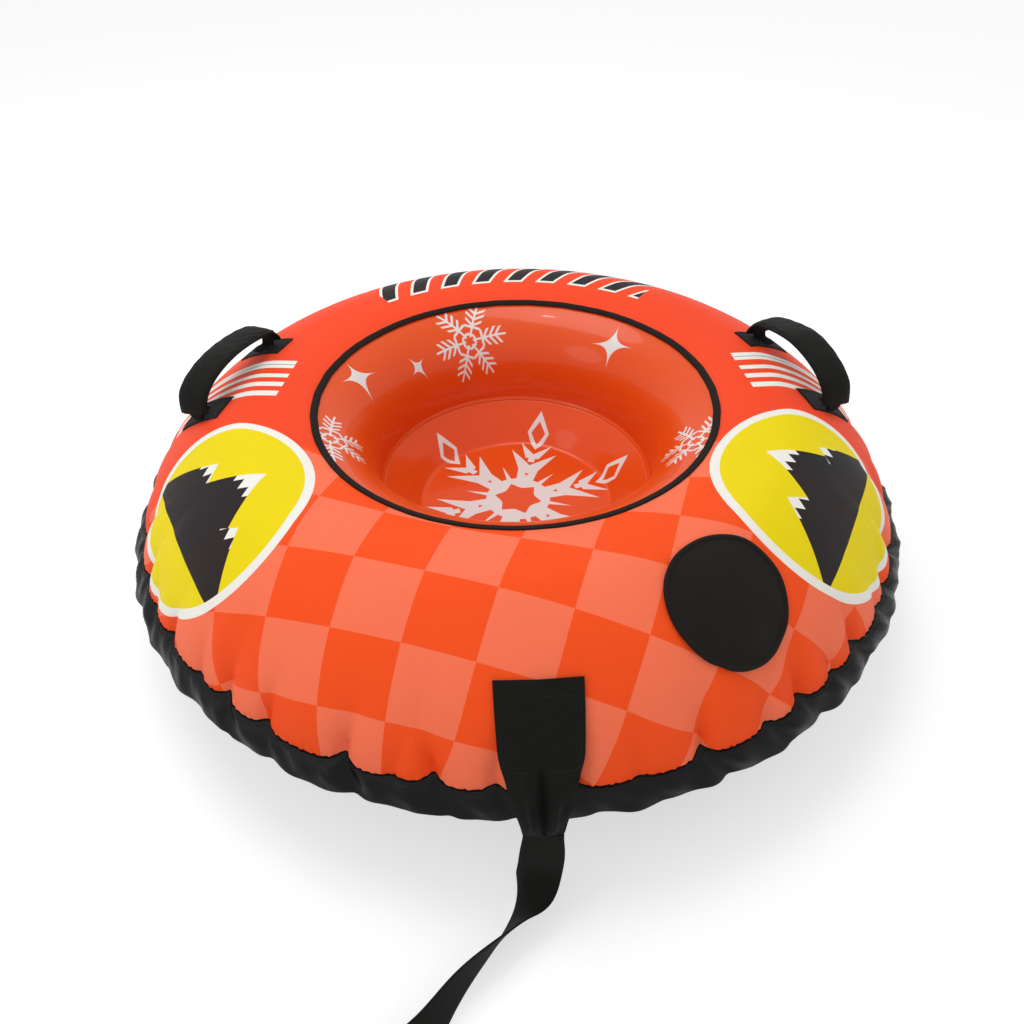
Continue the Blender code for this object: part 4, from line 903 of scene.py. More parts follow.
# %% Opening binding
BINDING_WIDTH, BINDING_THICKNESS = 0.0095, 0.0032
angles, flat_angles = turns(720)
turn = np.arange(20) * 2 * math.pi / 20
along = BINDING_WIDTH / 2 * (1 + squarer(np.cos(turn), 0.55))
rise = BINDING_THICKNESS / 2 * (1 + squarer(np.sin(turn), 0.75)) + GAP
wall_at = np.interp(OPENING_RADIUS, WALL[1], WALL[0])
uneven = 0.0002 * np.sin(23 * angles + 3 * np.sin(4 * angles)) + 0.0001 * np.sin(61 * angles)
binding_grid = place_on(WALL, wall_at + along[:, None] + uneven, angles, rise[:, None], COVER_END, 0.0)
binding_layout = spread(np.append(along, along[0])[:, None], flat_angles * OPENING_RADIUS)
binding_finish = woven("binding_tape", (24, 19, 16), 0.65, 0.0011, 0.00012, wear_and_thread_shade=0.15, sheen=0.0)
surface("opening_binding_tape", "opening_binding", binding_grid, binding_layout, binding_finish, "black_tape",
        closed=True)
print("binding lies", round(float(wall_at), 3), "m up the wall")

# %% [markdown]
# ## Film
#
# The chamber and the seat are welded from shiny orange film, printed with pale flakes and stars.
# A snowflake is one arm repeated six times, so its sum first folds the angle round the middle into
# a sixth of a turn. What is left is one arm lying along the first axis, mirrored on itself.

# %% Flakes and stars
def arm_axes(across, up, turn, arms=6):
    """Coordinates along and aside from the nearest arm, and the distance from the middle."""
    away = (across * across + up * up).root()
    angle = (up.sum("ARCTAN2", up, across) - turn).fold(2 * math.pi / arms)
    return away * angle.sum("COSINE", angle), away * angle.wave(), away


def spike(along, aside, start, reach, lean, width):
    """A tapering point that leaves the arm at a start, leans aside and ends after its reach."""
    share = (along - start) / reach
    core = ((along - start) * lean - aside).size()
    return ((1.0 - share) * width - core).past(0.0, 0.0005) * share.past(0.0, 0.02)


def bar(along, aside, start, end, width):
    return along.between(start, end, 0.0005) * (1.0 - aside.past(width / 2, 0.0005))


def diamond(along, aside, middle, length, width, line):
    """The outline of a diamond on the arm: inside the outer one and outside the inner one."""
    outer = (along - middle).size() / (length / 2) + aside / (width / 2)
    inner = (along - middle).size() / (length / 2 - 2 * line) + aside / (width / 2 - line)
    return (1.0 - outer.past(1.0, 0.03)) * inner.past(1.0, 0.05)


FLAKE_SPIKES = ((0.094, 0.034, 0.66, 0.0098), (0.064, 0.046, 0.74, 0.0135), (0.058, 0.026, 0.42, 0.0070),
                (0.030, 0.054, 0.30, 0.0110))


def large_flake(across, up, turn):
    """Six arms of a diamond, two bars and four pairs of spikes, round a ring with a star-shaped hole."""
    along, aside, away = arm_axes(across, up, turn)
    between, off, _ = arm_axes(across, up, turn + math.pi / 6)
    shape = diamond(along, aside, 0.1405, 0.048, 0.0330, 0.0058)
    shape = shape.most(spike(between, off, 0.034, 0.042, 0.0, 0.0045))
    for start, end, width in ((0.085, 0.104, 0.0095), (0.060, 0.071, 0.0130)):
        shape = shape.most(bar(along, aside, start, end, width))
    for start, length, lean, width in FLAKE_SPIKES:
        shape = shape.most(spike(along, aside, start, length, lean, width))
    tip = aside / away.most(0.001) * 2.0
    ring = (1.0 - away.past(0.0450, 0.0006)) * (away - tip * tip * 0.0095).past(0.0240, 0.0006)
    return shape.most(ring)


def small_flake(across, up, turn, size):
    """A flake of thin lines: a stem with three pairs of barbs on each arm, and two hexagons."""
    along, aside, _ = arm_axes(across / size, up / size, turn)
    shape = bar(along, aside, 0.10, 1.0, 0.050)
    for start, length in ((0.40, 0.20), (0.56, 0.22), (0.72, 0.20)):
        line = ((along - start) * 1.30 - aside).size()
        shape = shape.most((1.0 - line.past(0.045, 0.02)) * aside.between(0.0, length, 0.02))
    for place in (0.16, 0.36):
        side = along.between(place - 0.03, place + 0.03, 0.02) * (1.0 - aside.past(place * 0.56, 0.02))
        shape = shape.most(side)
    return shape


def star(across, up, turn, right, left, top, foot):
    """A four-pointed star with arms of its own lengths: powers of both shares add up to less than 1."""
    c, s = math.cos(turn), math.sin(turn)
    x, y = across * c + up * s, up * c - across * s
    wide = x.past(0.0, 0.0002) * (right - left) + left
    tall = y.past(0.0, 0.0002) * (top - foot) + foot
    return 1.0 - ((x.size() / wide) ** 0.44 + (y.size() / tall) ** 0.44).past(1.0, 0.03)


# %% [markdown]
# ## Film finishes
#
# Both films share one glossy finish with a slow ripple. The floor carries the large flake and a
# pale ring painted along the weld as its highlight, and the wall its stars and small flakes, placed
# by their angle and their height above the seat. WALL_TURN is the width of the wall's map in metres
# for each radian.

# %% Film finishes
FILM_ORANGE, FILM_DEEP, FILM_PRINT = ink(228, 82, 20), ink(214, 68, 9), ink(222, 219, 217)


def film_finish(name):
    """The film's finish, its map, the map's coordinates and its clouded orange."""
    finish = Finish(name, FILM_ORANGE, 0.34, Coat_Weight=0.30, Coat_Roughness=0.07, Specular_IOR_Level=0.14)
    vector, axes = finish.coordinates("flat")
    ripple = finish.noise(vector, 14.0, 2.0)
    finish.relief(ripple, 0.0012)
    finish.feed("Roughness", ripple * 0.10 + 0.29)
    return finish, vector, axes, finish.mixed(FILM_ORANGE, FILM_DEEP, finish.noise(vector, 6.0, 2.0) * 0.5)


floor_film, _, (x, y, _), shade = film_finish("printed_seat_film")
flake = large_flake(x - 0.003, y - 0.003, math.radians(16.5))
shade = floor_film.mixed(shade, FILM_PRINT, flake)
# A pale ring where the flat floor meets the cone: a painted highlight of the weld bead.
painted_weld_highlight = (x * x + y * y).root().between(0.1320, 0.1332, 0.0006)
floor_film.feed("Base Color", floor_film.mixed(shade, ink(240, 120, 70), painted_weld_highlight * 0.2))

WALL_TURN = 0.22
wall_film, _, (turned, height, _), shade = film_finish("printed_wall_film")
for degrees, rise, radius, make in (
        (160.1, 0.123, 0.245, lambda a, b: star(a, b, math.radians(22), 0.034, 0.038, 0.028, 0.050)),
        (133.7, 0.085, 0.232, lambda a, b: star(a, b, math.radians(-28), 0.020, 0.020, 0.022, 0.030)),
        (49.3, 0.111, 0.242, lambda a, b: star(a, b, math.radians(-12), 0.040, 0.040, 0.034, 0.040)),
        (108.2, 0.098, 0.238, lambda a, b: small_flake(a, b, math.radians(-6), 0.063)),
        (198.4, 0.137, 0.248, lambda a, b: small_flake(a, b, math.radians(10), 0.056)),
        (-22.3, 0.133, 0.248, lambda a, b: small_flake(a, b, math.radians(25), 0.056))):
    across = (turned / WALL_TURN - math.radians(degrees)) * radius
    shade = wall_film.mixed(shade, FILM_PRINT, make(across, height - rise))
wall_film.feed("Base Color", shade)
print("film nodes:", len(floor_film.tree.nodes), len(wall_film.tree.nodes))

# %% [markdown]
# ## The seat's floor
#
# A disc of film hangs in the opening: flat in the middle, then rising in a cone to the weld. The
# line it makes with the flat part is a crease, so the section is a polyline with small arcs in its
# corners. Five slow waves keep it from looking turned on a lathe.

# %% Seat floor
FILM, SEAT_FILM = 0.0009, 0.0006


def rounded(points, radius, count=6):
    """A polyline whose inner corners are arcs, each a quadratic curve from before to after the corner."""
    points = np.asarray(points, float)
    made = [points[:1]]
    for before, corner, after in zip(points, points[1:], points[2:]):
        first, second = corner - before, after - corner
        cut = min(radius, np.linalg.norm(first) / 2, np.linalg.norm(second) / 2)
        start, end = corner - unit(first) * cut, corner + unit(second) * cut
        t = np.linspace(0, 1, count)[:, None]
        made.append(start * (1 - t) ** 2 + 2 * corner * t * (1 - t) + end * t ** 2)
    return np.concatenate(made + [points[-1:]])


lip = SEAT_RADIUS - 0.0045
seat_top = rounded([(0.001, SEAT_FLOOR_HEIGHT), (0.045, SEAT_FLOOR_HEIGHT), (0.090, SEAT_FLOOR_HEIGHT),
                    (SEAT_FLAT_RADIUS, SEAT_FLOOR_HEIGHT), (0.153, 0.1245), (lip, RIM_HEIGHT + GAP),
                    (SEAT_RADIUS - GAP, RIM_HEIGHT + GAP)], 0.006)
seat_under = seat_top - SEAT_FILM * left_of(seat_top)
seat_section = np.concatenate([seat_top, seat_under[::-1]])
angles, flat_angles = turns(240)
radii, heights = seat_section[:, :1], seat_section[:, 1:]
crease = 0.0008 * np.sin(5 * angles + 1) * np.sin(math.pi * np.clip((radii - 0.05) / 0.12, 0, 1))
surface("seat_floor_film", "seat_floor", round_axis(radii, angles, heights + crease),
        round_map(radii, flat_angles), floor_film, "seat_film")
print("seat rows", len(seat_section))

# %% [markdown]
# ## The chamber's two panels
#
# The air chamber is two rings of film, welded to each other at the rim and to the seat's floor
# inside. The upper one is the wall that shows in the opening, and under the cloth it keeps below
# the deepest crease. The lower one stands on the base cloth.

# %% Chamber panels
wall_turn, wall_flat_turn = (-math.pi / 2 + angles for angles in turns(360))
wall_end = float(WALL[0][-1])
WELD_IN, RIM_WELD, SEAM_CLEAR, WALL_CLEAR = SEAT_RADIUS - 0.0035, (0.4516, 0.4596), 0.0012, 0.0018
crown_rows = np.linspace(0.004, COVER_END - 0.045, 18)
radius, height, out, up = on_section(COVER, crown_rows)
ring = on_cover(crown_rows[:, None], np.linspace(0, 2 * math.pi, 720))
deepest = (radius - np.hypot(ring[..., 0], ring[..., 1]).min(axis=1)).clip(0) / np.maximum(out, 0.3)
inside = CLOTH + deepest * 1.1
crown_section = np.stack([radius - out * inside, height - up * inside], 1)
wall_section = np.stack(on_section(WALL, np.linspace(0.0, wall_end, 46))[:2], 1)
weld_height = RIM_HEIGHT + 2 * GAP + FILM


def panel_rim(clear):
    """The last two points of a panel, at the rim's weld."""
    return [(radius, RIM_HEIGHT + clear) for radius in RIM_WELD]


face = np.concatenate([[(WELD_IN, weld_height)], wall_section, crown_section, panel_rim(SEAM_CLEAR)])
back = face - FILM * 0.9 * left_of(face)
section = np.concatenate([face, back[::-4], back[:1]])
lengths = lengths_along(face) - (SEAT_RADIUS - WELD_IN)
lengths = np.concatenate([lengths, lengths[::-4], lengths[:1], lengths[:1]])
top_panel = surface("chamber_top_film", "chamber_top_panel",
                    round_axis(section[:, :1], wall_turn, section[:, 1:]),
                    spread(wall_flat_turn * WALL_TURN, lengths[:, None]), wall_film, "seat_film", closed=True)

coarse = quarter[::100]
under_wall = np.stack([BASE_FLAT_RADIUS - (BASE_FLAT_RADIUS - SEAT_RADIUS) * np.cos(coarse) ** WALL_POWER,
                       RIM_HEIGHT - (RIM_HEIGHT - BASE_CLOTH - GAP) * np.sin(coarse) ** WALL_POWER], 1)
under_rows = np.linspace(0.05, math.pi / 2 * 0.80, 10)
under_side = base_curve(under_rows).T + (-0.002, 0.003)
under_side[:, 0] -= 0.024 * np.clip(under_rows / under_rows[-1], 0, 1) ** 2
face = np.concatenate([[(WELD_IN, RIM_HEIGHT - WALL_CLEAR)], under_wall[:-1] - [(0, 0.0006)], under_side,
                       panel_rim(-SEAM_CLEAR)])
face[:, 1] = np.maximum(face[:, 1], BASE_CLOTH + GAP)
back = face + FILM * 0.9 * left_of(face)
section = np.concatenate([face, back[::-1]])
plain_film, _, _, shade = film_finish("plain_film")
plain_film.feed("Base Color", shade)
lengths = lengths_along(np.concatenate([section, section[:1]]))
bottom_panel = surface("chamber_bottom_film", "chamber_bottom_panel",
                       round_axis(section[:, :1], wall_turn[::2], section[:, 1:]),
                       spread(wall_flat_turn[::2] * WALL_TURN, lengths[:, None]), plain_film, "seat_film",
                       closed=True)
print("panels have", len(top_panel.data.polygons), "and", len(bottom_panel.data.polygons), "faces")

# %% [markdown]
# ## Stitches
#
# Thread shows wherever webbing or tape is sewn down. A stitch is one small bead of thread, and a
# seam is that bead repeated along a line, all in one mesh.

# %% A seam of stitches
thread_finish = Finish("black_thread", ink(26, 26, 24), 0.6, Specular_IOR_Level=0.25)
vector, _ = thread_finish.coordinates()
thread_finish.relief(thread_finish.noise(vector, 4000.0, 1.0), 0.0001)
thread_finish.feed("Roughness", thread_finish.noise(vector, 300.0, 1.0) * 0.2 + 0.45)

STITCH_PITCH, STITCH_LONG, THREAD = 0.0042, 0.0042 * 0.68, 0.0007
lean, turn = np.radians(np.linspace(-90, 90, 5))[1:-1, None], np.radians(np.arange(0, 360, 60))[None, :]
bead = [(-STITCH_LONG / 2, 0.0, 0.0)]
bead += np.stack(np.broadcast_arrays(np.sin(lean) * STITCH_LONG / 2, np.cos(lean) * np.cos(turn) * THREAD / 2,
                                     np.cos(lean) * np.sin(turn) * THREAD / 2), -1).reshape(-1, 3).tolist()
bead = np.array(bead + [(STITCH_LONG / 2, 0.0, 0.0)])
bead_faces = [(0, 1 + (k + 1) % 6, 1 + k) for k in range(6)]
bead_faces += [(19, 13 + k, 13 + (k + 1) % 6) for k in range(6)]
bead_faces += [(1 + 6 * r + k, 1 + 6 * r + (k + 1) % 6, 7 + 6 * r + (k + 1) % 6, 7 + 6 * r + k)
               for r in (0, 1) for k in range(6)]


def seam(name, line, normals):
    """Beads of thread along a line, each lying half in the cloth, with the cloth's normals given."""
    length = lengths_along(line)
    count = max(2, int(length[-1] / STITCH_PITCH))
    at = (np.arange(count) + 0.5) * length[-1] / count
    middle, normal = read_off(at, length, line), unit(read_off(at, length, normals))
    way = unit(read_off(at, length, np.gradient(line, axis=0)))
    side = np.cross(normal, way)
    beads = sum(bead[None, :, k, None] * axis[:, None] for k, axis in enumerate((way, side, normal)))
    beads = middle[:, None] + beads
    every = [tuple(int(v) + len(bead) * n for v in face) for n in range(count) for face in bead_faces]
    return piece(name, outward_mesh(name, beads.reshape(-1, 3), every), thread_finish)


# %% [markdown]
# ## The hand loop
#
# The strap's far end is turned back on itself and sewn, which makes an eye to pull by. It lies on
# its side on the ground, and its webbing is the strap's own.

# %% Hand loop
LOOP_LENGTH, LOOP_HEIGHT = 0.115, 0.022
loop_way = unit(np.array([strap_way[-1][0], strap_way[-1][1], 0.0]))
loop_aside = np.array([-loop_way[1], loop_way[0], 0.0])
half = STRAP_WEBBING / 2
low = GAP + half
bend = LOOP_HEIGHT * 0.33
outline = [(0.0, low), (0.04, low), (0.086, low)]
outline += [(LOOP_LENGTH - bend - half + bend * math.cos(t), low + bend * (1 + math.sin(t)))
            for t in np.radians((-60, -20, 20, 60))]
sewn = low + STRAP_WEBBING + GAP
outline += [(0.086, LOOP_HEIGHT - half), (0.0575, LOOP_HEIGHT * 0.72), (0.038, sewn), (0.0, sewn)]
loop_line = smooth_path(np.array(outline), 120)
loop_start = np.array([strap_path[-1][0], strap_path[-1][1], 0.0]) + loop_way * GAP
loop_path = loop_start + loop_way * loop_line[:, :1] + np.array([0.0, 0.0, 1.0]) * loop_line[:, 1:]
loop_wide = np.broadcast_to(loop_aside, loop_path.shape)
hand_loop = surface("tow_hand_loop_webbing", "tow_hand_loop",
                    strap_rings(loop_path, loop_wide, STRAP_WIDTH, STRAP_WEBBING),
                    strap_layout(loop_path, STRAP_WIDTH), webbing_finish, "black_webbing")
LOOP_SEAMS = ((0.004, 0.034, 0.017), (0.004, 0.034, -0.017), (0.034, 0.004, 0.0))
for number, (start, end, aside) in enumerate(LOOP_SEAMS):
    line = (loop_start + loop_way * np.linspace(start, end, 12)[:, None] + loop_aside * aside
            + np.array([0.0, 0.0, sewn + half]))
    if number == 2:
        line = line + loop_aside * np.linspace(-0.016, 0.016, 12)[:, None]
    straight_up = np.broadcast_to((0.0, 0.0, 1.0), line.shape)
    seam(f"hand_loop_seam_{number + 1}", line, straight_up)

# %% [markdown]
# ## The tow anchor
#
# A wide piece of the same webbing is sewn flat on the cover, falls over the rim band and is drawn
# together to the strap's width. The spare width goes into two soft folds with a deep crease
# between them. It is one grid: rows go down the cover and over the band, columns go across.

# %% Anchor
ANCHOR_ANGLE, ANCHOR_RADIUS, ANCHOR_WIDTH, ANCHOR_WEBBING = math.radians(-87.8), 0.427, 0.086, 0.0016
anchor_start = float(length_at(ANCHOR_RADIUS))
total = COVER_END - anchor_start
crest = 0.0055 * 1.32  # how far the solid model's gathers stand out
low_radius = RIM_RADIUS + GAP + BAND_SPREAD * 0.6 + 0.857 * BAND_THICKNESS + crest * 1.2
low_height = RIM_HEIGHT - BAND_DROP * 0.6 + 0.514 * BAND_THICKNESS
radius, height, out, up = on_section(COVER, anchor_start + total * np.array((0.0, 0.22, 0.44, 0.64, 0.80)))
lifts = 0.0012 + np.array([0.0, 0.0, 0.002, 0.005, 0.007])
spine = np.stack([radius + out * lifts, height + up * lifts], 1)
spine = np.concatenate([spine, [(RIM_RADIUS + crest + 0.010, RIM_HEIGHT + 0.0034),
                                (low_radius + 0.005, low_height),
                                (low_radius + 0.0072, RIM_HEIGHT - BAND_DROP - 0.0075)]])
widths = (1.0, 0.99, 0.97, 0.94, 0.84, 0.70, 0.54, 0.45)
folds = (0.0, 0.0, 0.04, 0.16, 0.50, 1.0, 0.85, 0.15)
rows = smooth_path(np.column_stack([spine, widths, folds]), 72)
across = np.linspace(-0.5, 0.5, 64)
out = left_of(rows[:, :2])
fold = np.abs(np.sin(math.pi * across * 1.9)) ** 0.75 * (1 - 0.35 * np.abs(across) / 0.5)
fold = fold[None, :] * (0.0085 + 0.0015 * np.sin(9 * across + 1)[None, :]) * rows[:, 3:]
low_down = np.clip((rows[:, 3:] - 0.3) / 0.7, 0, 1)
hollow = np.exp(-(np.abs(across[None, :] - 0.02) / (0.04 + 0.09 * low_down)) ** 4)
fold = fold - (0.0030 * rows[:, 3:] + 0.0045 * low_down) * hollow
fold = fold + 0.0035 * low_down * np.exp(-((np.abs(across[None, :]) - 0.24) / 0.06) ** 2)
waves = 0.0004 * np.sin(260 * lengths_along(rows[:, :2])[:, None] + 14 * across[None, :])
raised = fold + waves
pinch = across[None, :] * (1 + 0.25 * rows[:, 3:] * (np.abs(across) - 0.5)[None, :])


def anchor_layer(lift):
    """One face of the webbing, raised square to the line down its middle."""
    radius = rows[:, :1] + out[:, :1] * (raised + lift)
    angle = ANCHOR_ANGLE + ANCHOR_WIDTH * rows[:, 2:3] * pinch / radius
    return round_axis(radius, angle, rows[:, 1:2] + out[:, 1:] * (raised + lift))


top_layer = anchor_layer(ANCHOR_WEBBING)
anchor_flat = spread(across * ANCHOR_WIDTH, lengths_along(rows[:, :2])[:, None])
surface("tow_anchor_webbing", "tow_anchor", *two_faces(top_layer, anchor_layer(0.0), anchor_flat),
        webbing_finish, "black_webbing")
anchor_lines = (top_layer[2, 3:-3], top_layer[20, 3:-3], top_layer[2:21, 3], top_layer[2:21, -4])
for number, line in enumerate(anchor_lines):
    seam(f"anchor_seam_{number + 1}", line, np.broadcast_to((0.0, -0.6, 0.8), line.shape))
print("anchor layer", top_layer.shape)

# %% [markdown]
# ## The valve's flap
#
# A round flap of doubled cloth keeps snow off the valve. It is slightly domed over the cap, and its
# border is rolled and sewn, which leaves a groove inside the roll. Its edge isn't quite round.

# %% Flap
VALVE_RADIUS, VALVE_ANGLE = 0.404, math.radians(-58.9)
FLAP_RADIUS, FLAP_CLOTH, FLAP_DOME, FLAP_ROLL, FLAP_REST = 0.069, 0.0015, 0.0046, 0.0024, 0.0006
valve_at = float(length_at(VALVE_RADIUS))


def on_cover_round(distance, turn, lift):
    """Places on the cover by distance and direction from the valve: downhill, then across."""
    down, aside = distance * np.cos(turn), distance * np.sin(turn)
    radius = on_section(COVER, valve_at + down)[0]
    return on_cover(valve_at + down, VALVE_ANGLE + aside / radius, lift)


turn, flat_turn = turns(144)
uneven = (1 + 0.012 * np.cos(2 * turn + 0.4) + 0.010 * np.cos(3 * turn - 1.1)
          - 0.012 * np.exp(-((turn - 5.6) / 0.10) ** 2))
inner = 1 - 2.4 * FLAP_ROLL / FLAP_RADIUS
share = np.linspace(0.01, inner, 16)
dome = FLAP_DOME * np.clip(1 - (share / inner) ** 2, 0, 1)
top = [(a, FLAP_REST + FLAP_ROLL * 0.9 + b + FLAP_CLOTH / 2) for a, b in zip(share, dome)]
middle = 1 - FLAP_ROLL / FLAP_RADIUS
roll_turn = np.radians((165, 135, 110, 85, 60, 35, 10, -20, -50, -80, -110))
roll = [(middle + FLAP_ROLL / FLAP_RADIUS * 1.15 * math.cos(t),
         FLAP_REST + FLAP_ROLL + FLAP_ROLL * math.sin(t)) for t in roll_turn]
under = [(a, FLAP_REST + FLAP_ROLL * 0.9 + b - FLAP_CLOTH / 2) for a, b in zip(share[::-3], dome[::-3])]
section = np.array(top + roll + under)
ripple = (0.0005 * np.sin(5 * turn + 2) * (section[:, :1] > 0.4)
          + 0.0004 * np.sin(9 * turn) * (section[:, :1] > 0.8))
flap_grid = on_cover_round(section[:, :1] * FLAP_RADIUS * uneven, turn, section[:, 1:] + ripple)
flap_layout = FLAP_RADIUS * round_map(section[:, :1], flat_turn)
flap_finish = woven("flap_cloth", (25, 22, 20), 0.70, 0.0009, 0.00008, wear_and_thread_shade=0.18, sheen=0.02)
surface("valve_flap_cloth", "valve_flap", flap_grid, flap_layout, flap_finish, "padded_cloth", "flap")
print("flap rings", len(section))

# %% [markdown]
# ## Hinge strip and fastening pads
#
# The flap hangs on a short strip cut from the printed cloth, so the strip's map is the print's own.
# Two pads of hook and loop hold the flap down, one on the cover and one under the flap.

# %% Small sheets on the cover
def lying_patch(name, node, place, size, lift, thickness, finish, slot, body="tube", printed=False):
    """A small sheet on the cover round a place, given as a length on the valve's line."""
    down, aside = (np.linspace(-0.5, 0.5, count) * reach for count, reach in zip((8, 20), size))
    down, aside = place + down[:, None], aside[None, :]
    angle = VALVE_ANGLE + aside / on_section(COVER, down)[0]
    upper, lower = (on_cover(down, angle, lift + extra) for extra in (thickness, 0.0))
    flat = round_map(CROWN_RADIUS + down, angle) if printed else spread(aside, down - place)
    return surface(name, node, *two_faces(upper, lower, flat), finish, slot, body)


HINGE_AT, PAD_AT = valve_at - FLAP_RADIUS - GAP - 0.007, valve_at + 0.047
lying_patch("flap_hinge_strip", "flap_hinge_tape", HINGE_AT, (0.014, 0.034), -0.0003, 0.0005,
            cover_print, "printed_cloth", printed=True)
hook_finish = woven("hook_fastener", (22, 22, 22), 0.92, 0.0013, 0.0006, wear_and_thread_shade=0.5)
for node, body, lift, thickness in (("flap_loop_pad", "tube", GAP, 0.0008),
                                    ("flap_hook_pad", "flap", 0.0014, 0.0022)):
    lying_patch(node + "_cloth", node, PAD_AT, (0.013, 0.030), lift, thickness, hook_finish,
                "hook_and_loop", body)
print("strip and pads lie", round(HINGE_AT, 3), "and", round(PAD_AT, 3), "m from the crown")

# %% [markdown]
# ## Two padded handles
#
# Each handle is a webbing strap in a padded sleeve, held at both ends over a patch on the cover.
# The strap arches because the cloth under it bulges when the tube is blown up, and the sleeve
# sags and creases a little. Everything is laid out in the handle's own directions: along the
# strap, outwards, and up from the cover.

# %% The handles' own directions
HANDLE_MIDDLE, HANDLE_HALF = np.array((0.37203, 0.0552, 0.2793)), 0.08736
HANDLE_ALONG, HANDLE_OUT = np.array((-0.35318, 0.9301, 0.10088)), np.array((0.93487, 0.35499, 0.0))
HANDLE_UP = np.array((0.03581, -0.09431, 0.9949))
SLEEVE_START, SLEEVE_WALL, WEBBING_HALF = 0.0105, 0.0026, 0.0009
HANDLES = {"left": (-1, 0.0385, 1.90, 0.0), "right": (1, 0.0460, 1.65, -3.0)}


class Handle:
    """A handle's frame: places by distance along, outwards and up, mirrored for the left one."""

    def __init__(self, name):
        self.side, self.rise, fullness, lean = HANDLES[name]
        self.power, lean = 2 / fullness, math.radians(lean)
        self.up = math.cos(lean) * HANDLE_UP + math.sin(lean) * HANDLE_OUT
        self.out = math.cos(lean) * HANDLE_OUT - math.sin(lean) * HANDLE_UP
        self.mirror = np.array((self.side, 1, 1))

    def at(self, along, aside, up):
        """A place in the leaned directions."""
        along, aside, up = np.broadcast_arrays(along, aside, up)
        place = along[..., None] * HANDLE_ALONG + aside[..., None] * self.out + up[..., None] * self.up
        return (HANDLE_MIDDLE + place) * self.mirror

    def arch(self, turn):
        """The strap's middle line: along and up, as a rounded arch from turn 0 to 180 degrees."""
        along = -HANDLE_HALF * squarer(np.cos(turn), self.power)
        top = self.rise - along * HANDLE_ALONG[2] / self.up[2]
        return along, SLEEVE_START + (top - SLEEVE_START) * np.abs(np.sin(turn)) ** self.power

    def on_cloth(self, along, aside, lift):
        """A place on the cover under the handle, found in a few steps, raised square to the cloth."""
        along, aside, lift = np.broadcast_arrays(along, aside, lift)
        place = HANDLE_MIDDLE + along[..., None] * HANDLE_ALONG + aside[..., None] * HANDLE_OUT
        length = length_at(np.hypot(place[..., 0], place[..., 1]))
        for _ in range(6):
            angle = np.arctan2(place[..., 1], place[..., 0] * self.side)
            foot = on_cover(length, angle)
            short = np.hypot(place[..., 0], place[..., 1]) - np.hypot(foot[..., 0], foot[..., 1])
            length = length + short * 1.1
            place[..., 2] = foot[..., 2]
            place = place + HANDLE_ALONG * (along - (place - HANDLE_MIDDLE) @ HANDLE_ALONG)[..., None]
        return on_cover(length, np.arctan2(place[..., 1], place[..., 0] * self.side), lift)


sleeve_finish = woven("padded_cloth", (17, 16, 14), 0.66, 0.0010, 0.00009, wear_and_thread_shade=0.20, sheen=0.02)
patch_finish = woven("patch_cloth", (22, 21, 21), 0.66, 0.0018, 0.00045, wear_and_thread_shade=0.45, sheen=0.03)
print("handles", list(HANDLES))

# %% [markdown]
# ## Sleeves
#
# A sleeve is a row of flattened rings along the arch. Its width and fullness vary slowly, it creases
# on its outer side, and both ends droop a little where they are sewn.

# %% Sleeves
SLEEVE_WIDTH, SLEEVE_END_WIDTH, SLEEVE_RINGS = 0.042, 0.041, 120


def sleeve_rings(handle, seed):
    """The rings from the front end to the rear one, and their map round and along the sleeve."""
    along, up = handle.arch(np.linspace(0, math.pi, SLEEVE_RINGS))
    path = np.column_stack([along, up])
    share = lengths_along(path) / lengths_along(path)[-1]
    even = np.linspace(0, 1, SLEEVE_RINGS)
    along, up = np.interp(even, share, along), np.interp(even, share, up)
    way = unit(np.gradient(np.column_stack([along, up]), axis=0))
    ends = np.clip(np.minimum(even, 1 - even) / 0.05, 0, 1)
    width = (SLEEVE_END_WIDTH + (SLEEVE_WIDTH - SLEEVE_END_WIDTH) * ends ** 0.6) / 2
    width = width * (1 + 0.02 * np.sin(9 * even + seed))
    wall = SLEEVE_WALL * (1.05 + 0.15 * np.sin(13 * even + 2 * seed)) * (0.85 + 0.15 * ends)
    around, turned = turns(56)
    flat, thick = squarer(np.cos(around), 0.62), squarer(np.sin(around), 0.75)
    aside = width[:, None] * flat[None, :]
    hollow = (WEBBING_HALF + GAP) * thick[None, :]
    crease = 0.0005 * np.sin(27 * even[:, None] + 2.2 * np.sin(3 * flat[None, :] + seed)) ** 2
    crease = crease * (0.35 + 0.65 * np.exp(-((even[:, None] - 0.5) / 0.45) ** 6)) * (thick[None, :] > 0)
    groove = 0.0012 * np.exp(-((np.abs(flat[None, :]) - 0.86) / 0.035) ** 2)
    belly = 1 + 0.30 * (1 - flat[None, :] ** 2)
    off = hollow + thick[None, :] * (wall[:, None] * belly - groove) - crease
    spot_along = along[:, None] - way[:, 1:] * off
    front, rear = np.exp(-(even / 0.06) ** 2)[:, None], np.exp(-((1 - even) / 0.06) ** 2)[:, None]
    droop = front * (0.0075 + 0.0040 * flat[None, :]) + rear * (0.0105 + 0.0010 * flat[None, :])
    spot_up = up[:, None] + way[:, :1] * off - droop
    layout = spread(turned * SLEEVE_WIDTH * 0.34, (even * lengths_along(path)[-1])[:, None])
    return handle.at(spot_along, aside, spot_up), layout


for seed, name in enumerate(HANDLES):
    handle = Handle(name)
    rings, layout = sleeve_rings(handle, 1.7 + 2 * seed)
    if handle.side < 0:
        rings = rings[:, ::-1]
    sleeve = surface(name + "_handle_padding", name + "_handle_sleeve", rings, layout, sleeve_finish,
                     "padded_cloth", name + "_handle")
    print(name, "sleeve has", len(sleeve.data.vertices), "points")

# %% [markdown]
# ## Webbings, patches and tabs
#
# The webbing inside a sleeve narrows to a round nose at each end. There a tab sewn to the cover comes
# up to meet it, and the handle folds about that line. A hemmed patch with one seam round it lies under
# each end.

